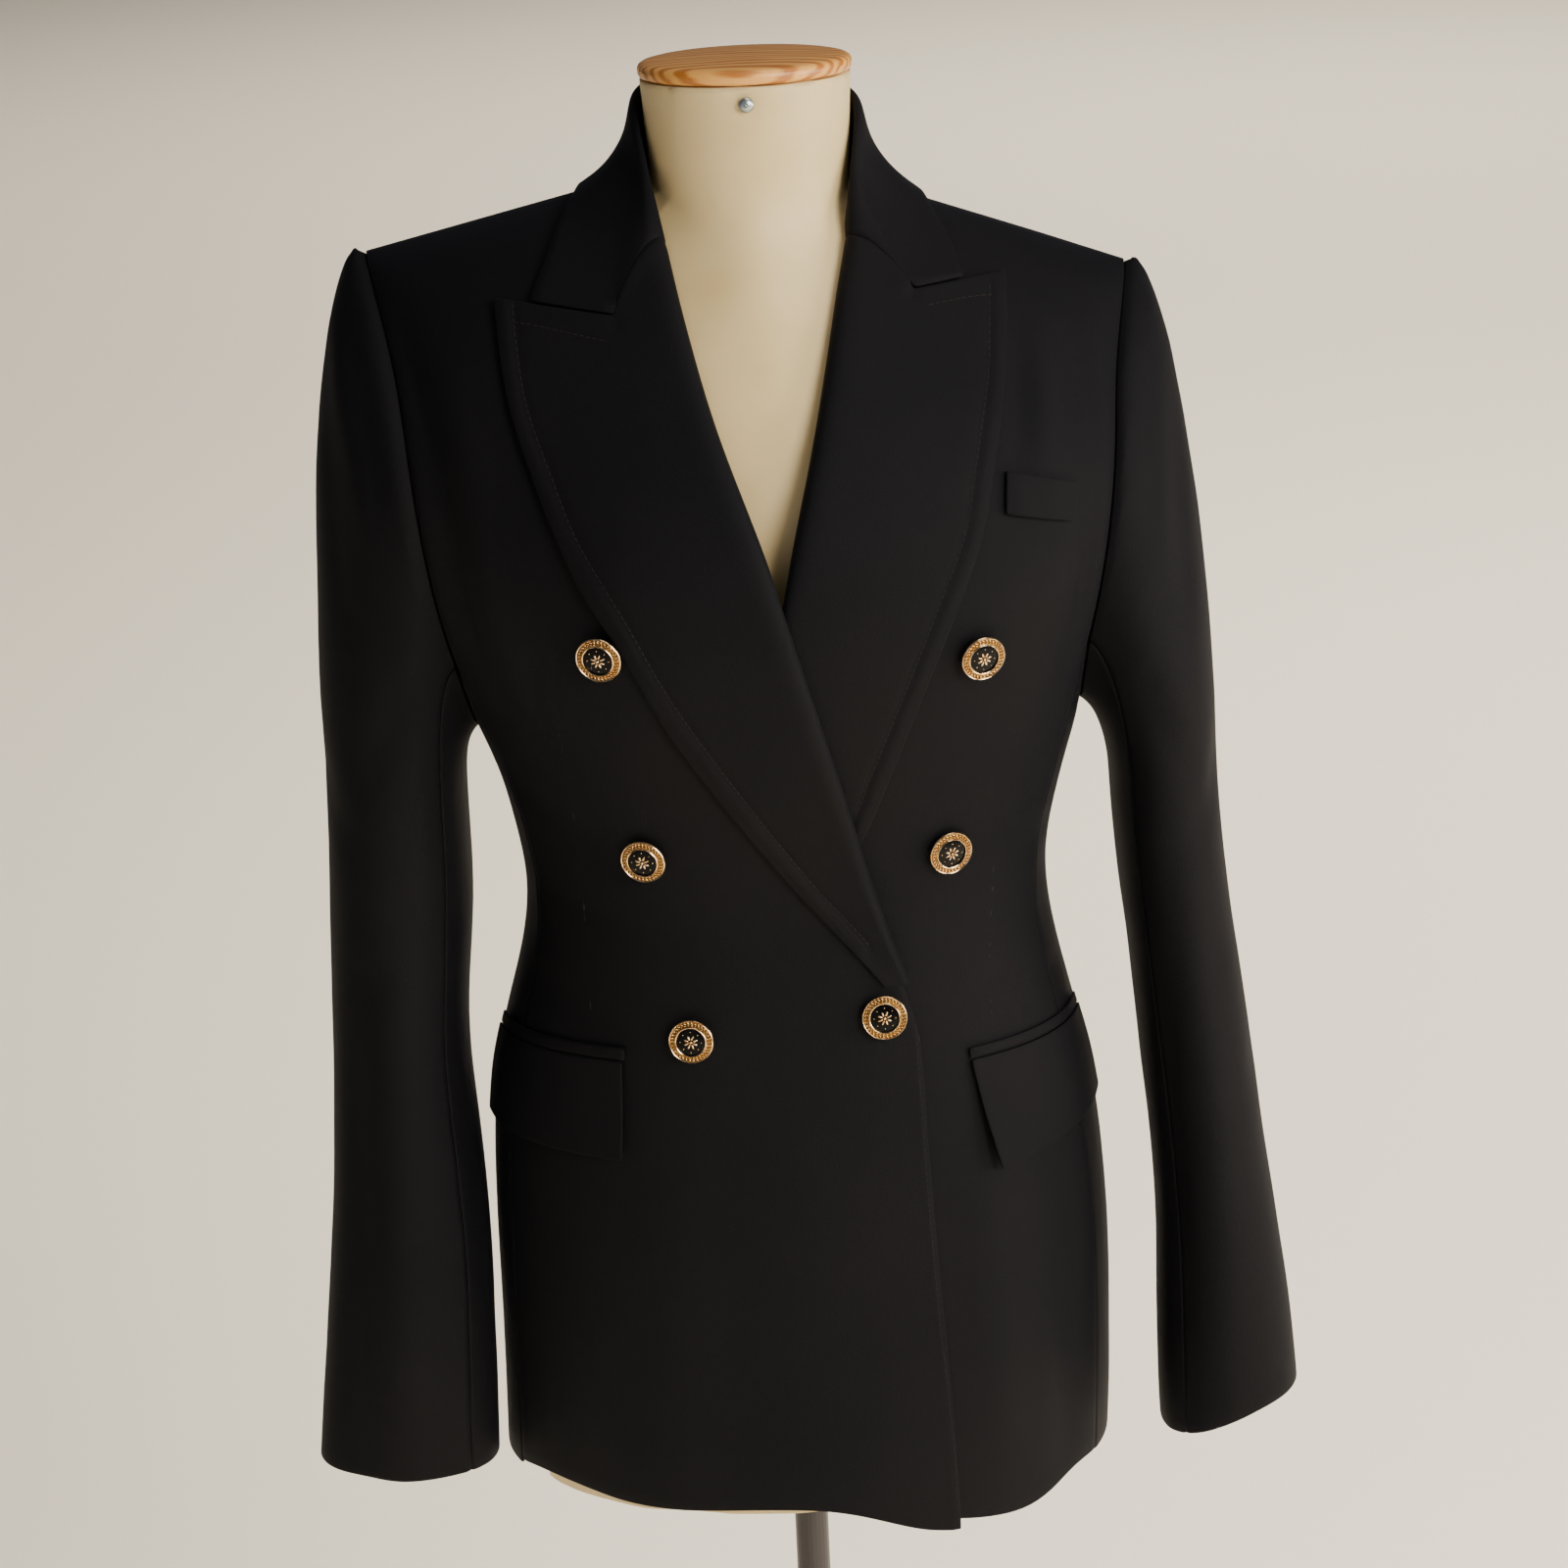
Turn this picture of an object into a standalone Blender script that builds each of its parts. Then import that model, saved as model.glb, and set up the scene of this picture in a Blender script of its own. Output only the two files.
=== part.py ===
"""A black double-breasted peak-lapel blazer, standing on a limbless dress form with a round foot.

Metres, +Z up, the front faces -Y. The origin lies on the floor, under the form's pole.
"left" and "right" are the viewer's, seen from the front: left is -X. The left front lies on top.
"""
import math

import bmesh
import bpy
from mathutils import Vector
from mathutils.bvhtree import BVHTree

# Driving dimensions of the garment, taken from its front at the real size.
CLOTH = 0.0015
LAYER_GAP = 0.0008
SEAM_GAP = 0.0005
HEM = 0.545
ARMHOLE_FOOT = 0.965
SHAPE_START = 1.000
SHOULDER_TOP = 1.2685
SHOULDER_SLOPE = {-1: 0.233, 1: 0.358}
LAYER = LAYER_GAP + CLOTH

# Driving dimensions of the form and its stand.
FORM_FOOT = 0.539
NECK_TOP = 1.3055
CAP_RADIUS = 0.0550
CAP_THICKNESS = 0.0085
POLE_RADIUS = 0.0095
BASE_RADIUS = 0.190
BASE_THICKNESS = 0.012
TOUCH_GAP = 0.0004

# The torso of the garment: a row for each level, with the outer half width on each side, how far the
# front and the back stand out from the middle, the middle's own place, and how square the section is.
TORSO_COLUMNS = ("level", "left", "right", "front", "back", "middle", "square")
TORSO = [
    (0.520, 0.1705, 0.1700, 0.112, 0.112, 0.000, 2.30),
    (0.600, 0.1690, 0.1735, 0.114, 0.116, 0.000, 2.30),
    (0.660, 0.1680, 0.1745, 0.113, 0.117, 0.000, 2.30),
    (0.720, 0.1670, 0.1710, 0.108, 0.112, 0.000, 2.30),
    (0.770, 0.1630, 0.1640, 0.102, 0.103, 0.000, 2.30),
    (0.810, 0.1530, 0.1540, 0.097, 0.096, 0.000, 2.30),
    (0.845, 0.1430, 0.1465, 0.094, 0.091, 0.000, 2.30),
    (0.880, 0.1388, 0.1435, 0.094, 0.090, 0.000, 2.30),
    (0.915, 0.1432, 0.1490, 0.099, 0.093, 0.000, 2.30),
    (0.950, 0.1520, 0.1590, 0.108, 0.099, 0.000, 2.30),
    (1.000, 0.1700, 0.1720, 0.120, 0.106, 0.000, 2.35),
    (1.050, 0.1870, 0.1870, 0.127, 0.111, 0.000, 2.45),
    (1.100, 0.1970, 0.1970, 0.122, 0.113, 0.001, 2.60),
    (1.150, 0.1990, 0.1990, 0.109, 0.110, 0.004, 2.90),
    (1.200, 0.1980, 0.1950, 0.094, 0.100, 0.008, 3.30),
    (1.2685, 0.2020, 0.1940, 0.078, 0.080, 0.012, 4.00),
]

# The armhole: an oval in angle and level, widest at its middle.
ARMHOLE_HALF_ANGLE = math.radians(30)
ARMHOLE_MIDDLE = (ARMHOLE_FOOT + SHOULDER_TOP) / 2
ARMHOLE_HALF_LEVEL = (SHOULDER_TOP - ARMHOLE_FOOT) / 2
FRONT_SEAM = math.radians(68)
BACK_SEAM = math.radians(116)
SHOULDER_CUT = math.radians(6)
SHOULDER_SEAM = 0.0012


def blend(low, high, value):
    """A smooth step from 0 at low to 1 at high."""
    share = min(max((value - low) / (high - low), 0.0), 1.0)
    return share * share * (3 - 2 * share)


def read_rows(rows, value, column):
    """Reads a column of a table at any value of its first column, on a smooth curve through the rows."""
    count = len(rows)
    if value <= rows[0][0]:
        return rows[0][column]
    if value >= rows[-1][0]:
        return rows[-1][column]
    at = max(i for i in range(count - 1) if rows[i][0] <= value)
    before, after = max(at - 1, 0), min(at + 2, count - 1)
    step = rows[at + 1][0] - rows[at][0]
    share = (value - rows[at][0]) / step
    slope_low = (rows[at + 1][column] - rows[before][column]) / (rows[at + 1][0] - rows[before][0])
    slope_high = (rows[after][column] - rows[at][column]) / (rows[after][0] - rows[at][0])
    low, high = rows[at][column], rows[at + 1][column]
    rise = share * share * (3 - 2 * share)
    start = share * (1 - share) ** 2 * step * slope_low
    end = share * share * (share - 1) * step * slope_high
    return low + (high - low) * rise + start + end


def torso_value(level, name):
    return read_rows(TORSO, level, TORSO_COLUMNS.index(name))


def level_and_depth(height):
    """Above the chest, height counts equal turns over the rounded shoulder instead of equal steps up."""
    if height <= SHAPE_START:
        return height, 1.0
    turn = (height - SHAPE_START) / (SHOULDER_TOP - SHAPE_START) * math.pi / 2
    level = SHAPE_START + (SHOULDER_TOP - SHAPE_START) * math.sin(turn)
    return level, math.cos(turn) * math.sqrt(1 + math.sin(turn) ** 2)


def height_of(level):
    """The inverse of level_and_depth."""
    if level <= SHAPE_START:
        return level
    share = min((level - SHAPE_START) / (SHOULDER_TOP - SHAPE_START), 1.0)
    return SHAPE_START + (SHOULDER_TOP - SHAPE_START) * math.asin(share) / (math.pi / 2)


def level_to_z(level, x):
    """Levels are real heights up to the chest, and slope with the shoulder above it."""
    if level <= SHAPE_START:
        return level
    shoulder = SHOULDER_TOP - SHOULDER_SLOPE[1 if x > 0 else -1] * abs(x)
    share = (level - SHAPE_START) / (SHOULDER_TOP - SHAPE_START)
    return SHAPE_START + share * (shoulder - SHAPE_START)


def z_to_level(z, x):
    """The inverse of level_to_z."""
    if z <= SHAPE_START:
        return z
    shoulder = SHOULDER_TOP - SHOULDER_SLOPE[1 if x > 0 else -1] * abs(x)
    share = (z - SHAPE_START) / (shoulder - SHAPE_START)
    return SHAPE_START + share * (SHOULDER_TOP - SHAPE_START)


def torso_surface(angle, height):
    """A point of the garment's outside. Angle 0 is the front, a quarter turn the right side."""
    level, depth = level_and_depth(height)
    side = "right" if angle > 0 else "left"
    power = 2 / torso_value(level, "square")
    across, along = math.sin(angle), math.cos(angle)
    x = math.copysign(torso_value(level, side) * abs(across) ** power, across)
    reach = torso_value(level, "front" if along > 0 else "back") * depth
    y = torso_value(level, "middle") - math.copysign(reach * abs(along) ** power, along)
    return Vector((x, y, level_to_z(level, x)))


def torso_normal(angle, height):
    """The outward direction there, from two short steps on the surface."""
    step = 0.01
    high = min(height, SHOULDER_TOP - 0.004)
    turn = math.copysign(min(abs(abs(angle) - math.pi / 2), math.pi), abs(angle) - math.pi / 2)
    if high > 1.2 and abs(turn) < 0.12:
        angle = math.copysign(math.pi / 2 + math.copysign(0.12, turn), angle)
    if abs(angle) < step:
        angle = math.copysign(step, angle)
    around = torso_surface(angle + step / 2, high) - torso_surface(angle - step / 2, high)
    up = torso_surface(angle, high + 0.002) - torso_surface(angle, high - 0.002)
    return around.cross(up).normalized()


def torso_point(angle, height, out=0.0):
    return torso_surface(angle, height) + torso_normal(angle, height) * out


def front_angle(x, level):
    """The angle at which the front has this x."""
    half = torso_value(level, "right" if x > 0 else "left")
    share = min(abs(x) / half, 1.0)
    return math.copysign(math.asin(share ** (torso_value(level, "square") / 2)), x)


def front_point(x, z, out=0.0):
    """The point of the front that is seen at x and z, moved out from the cloth's outside."""
    level = min(z_to_level(z, x), SHOULDER_TOP)
    return torso_point(front_angle(x, level), height_of(level), out)


def armhole(side, turn):
    """The armhole seam. Turn 0 is the shoulder point, a quarter turn the front, half a turn the foot."""
    angle = math.pi / 2 - ARMHOLE_HALF_ANGLE * math.sin(turn)
    level = ARMHOLE_MIDDLE + ARMHOLE_HALF_LEVEL * math.cos(turn)
    return side * angle, height_of(level)


def new_material(name, colour, roughness, metallic=0.0):
    material = bpy.data.materials.new(name)
    material.use_nodes = True
    shader = material.node_tree.nodes["Principled BSDF"]
    shader.inputs["Base Color"].default_value = (*colour, 1)
    shader.inputs["Roughness"].default_value = roughness
    shader.inputs["Metallic"].default_value = metallic
    return material


CLOTH_BLACK = ("black crepe", (0.010, 0.009, 0.009), 0.75)
GOLD = ("pale gold plate", (0.62, 0.38, 0.17), 0.28, 1.0)
ENAMEL = ("black enamel", (0.006, 0.006, 0.007), 0.15)
IVORY = ("ivory form", (0.72, 0.62, 0.46), 0.5)
BEECH = ("light wood", (0.52, 0.30, 0.12), 0.5)
STEEL = ("zinc steel", (0.45, 0.46, 0.47), 0.35, 1.0)
DARK_STEEL = ("dark painted steel", (0.035, 0.034, 0.036), 0.4, 0.5)


def add_object(name, mesh_data, look):
    """Links a finished bmesh as one named piece with its own material."""
    bmesh.ops.recalc_face_normals(mesh_data, faces=mesh_data.faces)
    if mesh_data.calc_volume(signed=True) < 0:
        bmesh.ops.reverse_faces(mesh_data, faces=mesh_data.faces)
    mesh = bpy.data.meshes.new(name)
    mesh_data.to_mesh(mesh)
    mesh_data.free()
    mesh.shade_smooth()
    mesh.set_sharp_from_angle(angle=math.radians(40))
    mesh.materials.append(new_material(f"{name} {look[0]}", *look[1:]))
    piece = bpy.data.objects.new(name, mesh)
    bpy.context.collection.objects.link(piece)
    return piece


def cloth_wall(name, outside, inside, look=CLOTH_BLACK):
    """A closed wall between two grids of points, rows first, with its four edges joined."""
    mesh_data = bmesh.new()
    rows, columns = len(outside), len(outside[0])
    outer = [[mesh_data.verts.new(point) for point in row] for row in outside]
    inner = [[mesh_data.verts.new(point) for point in row] for row in inside]
    for i in range(rows - 1):
        for j in range(columns - 1):
            mesh_data.faces.new((outer[i][j], outer[i][j + 1], outer[i + 1][j + 1], outer[i + 1][j]))
            mesh_data.faces.new((inner[i + 1][j], inner[i + 1][j + 1], inner[i][j + 1], inner[i][j]))
    edge = [(0, j) for j in range(columns)] + [(i, columns - 1) for i in range(1, rows)]
    edge += [(rows - 1, j) for j in range(columns - 2, -1, -1)] + [(i, 0) for i in range(rows - 2, 0, -1)]
    for here, there in zip(edge, edge[1:] + edge[:1]):
        corners = (outer[here[0]][here[1]], outer[there[0]][there[1]])
        corners += (inner[there[0]][there[1]], inner[here[0]][here[1]])
        mesh_data.faces.new(corners)
    return add_object(name, mesh_data, look)


def spread(low, high, count):
    return [low + (high - low) * i / (count - 1) for i in range(count)]


# Hem heights along each front, by x, and the fronts' inner edges, by level. Below the break an inner edge
# is the overlap's vertical edge, and above it the roll line, up to the neck point on the shoulder seam.
LEFT_HEM = [
    (-0.170, 0.549),
    (-0.140, 0.554),
    (-0.114, 0.5525),
    (-0.070, 0.546),
    (0.000, 0.5475),
    (0.030, 0.5418),
    (0.060, 0.529),
    (0.085, 0.5252),
]
RIGHT_HEM = [
    (-0.080, 0.5505),
    (0.008, 0.5505),
    (0.034, 0.5445),
    (0.060, 0.5330),
    (0.080, 0.5290),
    (0.105, 0.5265),
    (0.121, 0.532),
    (0.140, 0.541),
    (0.170, 0.541),
]
LEFT_EDGE = [
    (0.520, 0.0830),
    (0.609, 0.0795),
    (0.687, 0.0742),
    (0.751, 0.0713),
    (0.804, 0.0700),
    (0.826, 0.0660),
    (0.845, 0.0588),
    (0.892, 0.0450),
    (0.949, 0.0316),
    (1.008, 0.0167),
    (1.046, 0.0069),
    (1.088, -0.0044),
    (1.151, -0.0259),
    (1.210, -0.0411),
    (1.237, -0.0470),
    (1.2685, -0.0620),
]
RIGHT_EDGE = [
    (0.520, -0.0680),
    (0.815, -0.0640),
    (0.848, -0.0380),
    (0.925, -0.0200),
    (1.046, 0.0069),
    (1.093, 0.0163),
    (1.1365, 0.0271),
    (1.1765, 0.0360),
    (1.217, 0.0445),
    (1.240, 0.0503),
    (1.2685, 0.0620),
]
HEM_BLEND_TOP = 0.700
ROLL_ROOM = 0.0006
LOWER_HEIGHTS = [0.545, 0.575, 0.620, 0.665, 0.710, 0.750, 0.785, 0.815, 0.845, 0.875]
LOWER_HEIGHTS += [0.905, 0.935, 0.965, 0.993]
ARMHOLE_STEPS = 9
UNDERARM_STEPS = 7
JUNCTION = math.pi - math.asin((math.pi / 2 - FRONT_SEAM) / ARMHOLE_HALF_ANGLE)
BACK_JUNCTION = math.pi - math.asin((BACK_SEAM - math.pi / 2) / ARMHOLE_HALF_ANGLE)


def seam_heights(junction):
    """Heights from the hem up to where a side seam meets the armhole."""
    level = ARMHOLE_MIDDLE + ARMHOLE_HALF_LEVEL * math.cos(junction)
    return LOWER_HEIGHTS + [height_of(level)]


def with_hem(height, hem):
    """Moves the lowest rows so that the first lies on the hem."""
    if height >= HEM_BLEND_TOP:
        return height
    share = (height - LOWER_HEIGHTS[0]) / (HEM_BLEND_TOP - LOWER_HEIGHTS[0])
    return hem + share * (HEM_BLEND_TOP - hem)


def over_lift(x, z):
    """How far the left front stands out, over the right front and, near the break, over its lapel."""
    across = blend(-0.118, -0.070, x)
    stack = LAYER + 0.0004 + (LAYER + 0.0002) * blend(0.770, 0.835, z)
    return stack * across * (1 - blend(1.070, 1.170, z))


def front_panel(name, side, edge_rows, hem_rows, lift):
    """One front, from its inner edge round to the side seam and the armhole, up to the shoulder."""
    outside, inside = [], []
    outer_edge = [(side * FRONT_SEAM, height) for height in seam_heights(JUNCTION)]
    outer_edge += [armhole(side, JUNCTION * (1 - i / ARMHOLE_STEPS)) for i in range(1, ARMHOLE_STEPS)]
    outer_edge += [(side * (math.pi / 2 - SHOULDER_CUT), SHOULDER_TOP)]
    columns = 14
    for seam_angle, height in outer_edge:
        level, _ = level_and_depth(height)
        edge_x = read_rows(edge_rows, level, 1) + side * ROLL_ROOM
        gap = SEAM_GAP / 2 / 0.15
        last = seam_angle - side * gap
        outer_row, inner_row = [], []
        for j in range(columns):
            share = j / (columns - 1)
            half = torso_value(level, "right" if side > 0 else "left")
            seam_x = half * math.sin(abs(last)) ** (2 / torso_value(level, "square")) * side
            x = edge_x + (seam_x - edge_x) * share
            angle = last if j == columns - 1 else front_angle(x, level)
            bend = share ** 2
            angle = angle * (1 - bend) + (front_angle(edge_x, level) * (1 - share) + last * share) * bend
            hem = read_rows(hem_rows, x, 1)
            row_height = min(with_hem(height, hem), SHOULDER_TOP - SHOULDER_SEAM)
            flat = torso_surface(angle, row_height)
            out = lift(flat.x, flat.z)
            outer_row.append(torso_point(angle, row_height, out))
            inner_row.append(torso_point(angle, row_height, out - CLOTH))
        outside.append(outer_row)
        inside.append(inner_row)
    return cloth_wall(name, outside, inside)


def no_lift(x, z):
    return 0.0


def side_panel(name, side):
    """The panel under the arm, from the front's side seam to the back's, up to the foot of the armhole."""
    gap = SEAM_GAP / 2 / 0.15
    turns = spread(JUNCTION, 2 * math.pi - BACK_JUNCTION, UNDERARM_STEPS + 1)
    angles = [armhole(1, turn)[0] for turn in turns]
    angles[0] += gap
    angles[-1] -= gap
    rows = len(seam_heights(JUNCTION))
    outside, inside = [], []
    for i in range(rows):
        outer_row, inner_row = [], []
        for angle in angles:
            from_middle = abs(angle - math.pi / 2) / ARMHOLE_HALF_ANGLE
            top = ARMHOLE_MIDDLE - ARMHOLE_HALF_LEVEL * math.sqrt(1 - from_middle**2)
            front_share = (BACK_SEAM - angle) / (BACK_SEAM - FRONT_SEAM)
            front_height = seam_heights(JUNCTION)[i]
            back_height = seam_heights(BACK_JUNCTION)[i]
            height = back_height + (front_height - back_height) * front_share
            highest = seam_heights(BACK_JUNCTION)[-1] * (1 - front_share) + seam_heights(JUNCTION)[-1] * front_share
            drop = (highest - height_of(top)) * blend(0.80, highest, height)
            front_hem = LEFT_HEM[0][1] if side < 0 else RIGHT_HEM[-1][1]
            hem = HEM + (front_hem - HEM) * front_share
            row_height = with_hem(height, hem) - drop
            outer_row.append(torso_point(side * angle, row_height))
            inner_row.append(torso_point(side * angle, row_height, -CLOTH))
        outside.append(outer_row)
        inside.append(inner_row)
    return cloth_wall(name, outside, inside)


# The back neck: x of the neckline by level, behind the collar's stand.
BACK_NECK_WIDTH = 0.0620
BACK_NECK_LEVEL = 1.2450


def back_panel(name, side):
    """One back, from the centre seam round to the side seam and the armhole, up to the shoulder."""
    outer_edge = [(BACK_SEAM, height) for height in seam_heights(BACK_JUNCTION)]
    for i in range(1, ARMHOLE_STEPS):
        angle, height = armhole(1, -BACK_JUNCTION * (1 - i / ARMHOLE_STEPS))
        outer_edge.append((angle, height))
    outer_edge.append((math.pi / 2 + SHOULDER_CUT, SHOULDER_TOP))
    seam_gap = SEAM_GAP / 2 / 0.15
    columns = 9
    outside, inside = [], []
    for seam_angle, height in outer_edge:
        level, _ = level_and_depth(height)
        first = seam_angle + seam_gap
        outer_row, inner_row = [], []
        opened = BACK_NECK_WIDTH * math.sqrt(max(0.0, (level - BACK_NECK_LEVEL) / (SHOULDER_TOP - BACK_NECK_LEVEL)))
        half = torso_value(level, "right" if side > 0 else "left")
        opened = max(opened, SEAM_GAP / 2)
        last = math.pi - math.asin((opened / half) ** (torso_value(level, "square") / 2))
        for j in range(columns):
            angle = first + (last - first) * j / (columns - 1)
            row_height = min(height, SHOULDER_TOP - SHOULDER_SEAM)
            outer_row.append(torso_point(side * angle, row_height))
            inner_row.append(torso_point(side * angle, row_height, -CLOTH))
        outside.append(outer_row)
        inside.append(inner_row)
    return cloth_wall(name, outside, inside)


# The sleeves: a row for each height below the armhole, with the outer and inner x as seen from the
# front, the place of the middle along Y and the half depth.
SLEEVE_COLUMNS = ("z", "outer", "inner", "middle", "depth")
LEFT_SLEEVE = [
    (0.547, 0.2730, 0.1760, -0.036, 0.034),
    (0.600, 0.2675, 0.1745, -0.033, 0.038),
    (0.650, 0.2615, 0.1735, -0.029, 0.043),
    (0.700, 0.2555, 0.1725, -0.022, 0.048),
    (0.760, 0.2515, 0.1745, -0.013, 0.053),
    (0.810, 0.2500, 0.1755, -0.006, 0.056),
    (0.860, 0.2470, 0.1690, -0.001, 0.058),
    (0.915, 0.2440, 0.1675, 0.001, 0.060),
]
RIGHT_SLEEVE = [
    (0.547, 0.2710, 0.1940, -0.032, 0.042),
    (0.600, 0.2675, 0.1935, -0.029, 0.044),
    (0.650, 0.2630, 0.1945, -0.025, 0.047),
    (0.700, 0.2585, 0.1945, -0.019, 0.050),
    (0.760, 0.2535, 0.1925, -0.011, 0.053),
    (0.810, 0.2485, 0.1890, -0.005, 0.055),
    (0.860, 0.2430, 0.1835, -0.001, 0.057),
    (0.915, 0.2375, 0.1795, 0.001, 0.059),
]
SLEEVE_HEIGHTS = [0.547, 0.575, 0.620, 0.665, 0.710, 0.755, 0.800, 0.845, 0.885, 0.915]
# How far a cuff's edge rises above the lowest height, by the share of the way from the body outwards.
CUFF_RISE = {
    -1: [(0.0, 0.0060), (0.5, 0.0045), (0.75, 0.0080), (1.0, 0.0100)],
    1: [(0.0, 0.0055), (0.23, 0.0116), (0.45, 0.0190), (0.73, 0.0275), (1.0, 0.0320)],
}
CUFF_BLEND = 0.130
HEAD_FALL = {-1: 0.62, 1: 0.45}
CAP_SHARES = [0.86, 0.72, 0.58, 0.45, 0.33, 0.22, 0.13, 0.06, 0.0]
ARMHOLE_CENTRE = Vector((0.186, 0.004, 1.095))


def sleeve_ring(side, rows, z, turn, shrink):
    """A point of a level ring of the sleeve, counted from the outside forwards."""
    outer, inner, middle, depth = (read_rows(rows, z, i) for i in range(1, 5))
    half = (outer - inner) / 2 - shrink
    reach = depth - shrink
    power = 2 / 2.3
    across = math.copysign(abs(math.cos(turn)) ** power, math.cos(turn))
    along = math.copysign(abs(math.sin(turn)) ** power, math.sin(turn))
    fade = max(0.0, 1 - (z - SLEEVE_HEIGHTS[0]) / CUFF_BLEND)
    rise = read_rows(CUFF_RISE[side], (1 + across) / 2, 1) * fade
    return Vector((side * ((outer + inner) / 2 + half * across), middle - reach * along, z + rise))


def sleeve_point(side, rows, row, turn, shrink):
    """Rows run up the sleeve, then over its cap to the armhole seam."""
    if row < len(SLEEVE_HEIGHTS):
        return sleeve_ring(side, rows, SLEEVE_HEIGHTS[row], turn, shrink)
    share = CAP_SHARES[row - len(SLEEVE_HEIGHTS)]
    angle, height = armhole(side, turn)
    seam = torso_point(angle, height)
    outward = torso_normal(angle, height)
    to_centre = Vector((side * ARMHOLE_CENTRE.x, ARMHOLE_CENTRE.y, ARMHOLE_CENTRE.z)) - seam
    to_centre = (to_centre - outward * to_centre.dot(outward)).normalized()
    raised = (1 + math.cos(turn)) / 2
    start = seam + to_centre * (SEAM_GAP + shrink) + outward * (LAYER_GAP * (1 - raised) - CLOTH / 2 * raised)
    outward = (outward + Vector((side * 0.35, 0, 0))).normalized()
    end = sleeve_ring(side, rows, SLEEVE_HEIGHTS[-1], turn, shrink)
    puff = 0.009 + 0.014 * raised + 0.008 * raised**2
    first = start + outward * puff + Vector((0, 0, 0.004 * raised + 0.002 * raised**3 - 0.003 * (1 - raised)))
    fall = 0.45 + (HEAD_FALL[side] - 0.45) * raised
    second = end + Vector((0, 0, fall * (start.z - end.z)))
    rest = 1 - share
    return end * share**3 + second * 3 * share**2 * rest + first * 3 * share * rest**2 + start * rest**3


def grid_inside(grid, thickness, outward):
    """The inner face of a free wall: each point moved back along the grid's own normal."""
    rows, columns = len(grid), len(grid[0])
    inner = []
    for i in range(rows):
        line = []
        for j in range(columns):
            up = grid[min(i + 1, rows - 1)][j] - grid[max(i - 1, 0)][j]
            across = grid[i][min(j + 1, columns - 1)] - grid[i][max(j - 1, 0)]
            line.append(grid[i][j] - across.cross(up).normalized() * thickness * outward)
        inner.append(line)
    return inner


def sleeve_half(name, side, rows, turns):
    gap = SEAM_GAP / 2 / 0.045
    turns = [turns[0] + gap] + turns[1:-1] + [turns[-1] - gap]
    count = len(SLEEVE_HEIGHTS) + len(CAP_SHARES)
    outside = [[sleeve_point(side, rows, i, turn, 0.0) for turn in turns] for i in range(count)]
    inside = grid_inside(outside, CLOTH, -side)
    rings = len(SLEEVE_HEIGHTS)
    straight = [(i, 1.0) for i in range(rings + 1)] + [(rings + 1, 0.75), (rings + 2, 0.5), (rings + 3, 0.25)]
    straight += [(count - 1, 1.0), (count - 2, 0.3)]
    for i, share in straight:
        inner_row = [sleeve_point(side, rows, i, turn, CLOTH) for turn in turns]
        inside[i] = [point.lerp(other, share) for point, other in zip(inside[i], inner_row)]
    return cloth_wall(name, outside, inside)


def tree_of(pieces):
    """One search tree over the faces of some finished pieces."""
    points, faces = [], []
    for piece in pieces:
        first = len(points)
        points += [vertex.co.copy() for vertex in piece.data.vertices]
        faces += [[first + index for index in face.vertices] for face in piece.data.polygons]
    return BVHTree.FromPolygons(points, faces)


def clear_of(tree, point, distance):
    """Moves a point straight away from the cloth next to it until it stands this far off."""
    place, normal, _, gap = tree.find_nearest(point)
    inside = (point - place).dot(normal) < 0
    if gap >= distance and not (inside and gap < 0.012):
        return point
    return place + normal * distance


# The lapels: outer edges by height, x as seen from the front, and the gorge, where the collar joins on.
LEFT_LAPEL = [
    (0.840, 0.0505),
    (0.859, 0.0367),
    (0.880, 0.0206),
    (0.902, 0.0046),
    (0.951, -0.0271),
    (1.0025, -0.0578),
    (1.030, -0.0691),
    (1.063, -0.0904),
    (1.088, -0.1024),
    (1.118, -0.1139),
    (1.153, -0.1260),
    (1.185, -0.1309),
    (1.203, -0.1325),
]
RIGHT_LAPEL = [
    (0.850, -0.0180),
    (0.875, 0.0090),
    (0.918, 0.0398),
    (0.959, 0.0572),
    (1.002, 0.0748),
    (1.045, 0.0923),
    (1.083, 0.1081),
    (1.115, 0.1153),
    (1.153, 0.1238),
    (1.175, 0.1265),
    (1.203, 0.1280),
]
LAPEL_FOOT = {-1: 0.840, 1: 0.850}
GORGE_TOP = {-1: (-0.0471, 1.2272), 1: (0.0508, 1.2233)}
NOTCH = {-1: (-0.0710, 1.1940), 1: (0.0802, 1.1985)}
PEAK = {-1: (-0.1325, 1.2030), 1: (0.1280, 1.2030)}
COLLAR_POINT = {-1: -0.1140, 1: 0.1058}
LAPEL_ROWS = 19
LAPEL_OUT = 0.0030
ROLL_SWELL = 0.0038
# The roll's section: how far past the roll line, towards the opening, and how far out.
ROLL_SECTION = [(0.0028, -0.0012), (0.0030, 0.0016), (0.0014, 0.0048)]
ROLL_LEAN = math.atan2(0.19, 1.0)


def roll_point(side, x, z, beyond, out):
    """A point beside the roll line, moved past it towards the opening and out from the front."""
    return front_point(x - side * beyond * math.cos(ROLL_LEAN), z + beyond * math.sin(ROLL_LEAN), out)


def notch_share(side):
    return (NOTCH[side][0] - GORGE_TOP[side][0]) / (PEAK[side][0] - GORGE_TOP[side][0])


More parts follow.
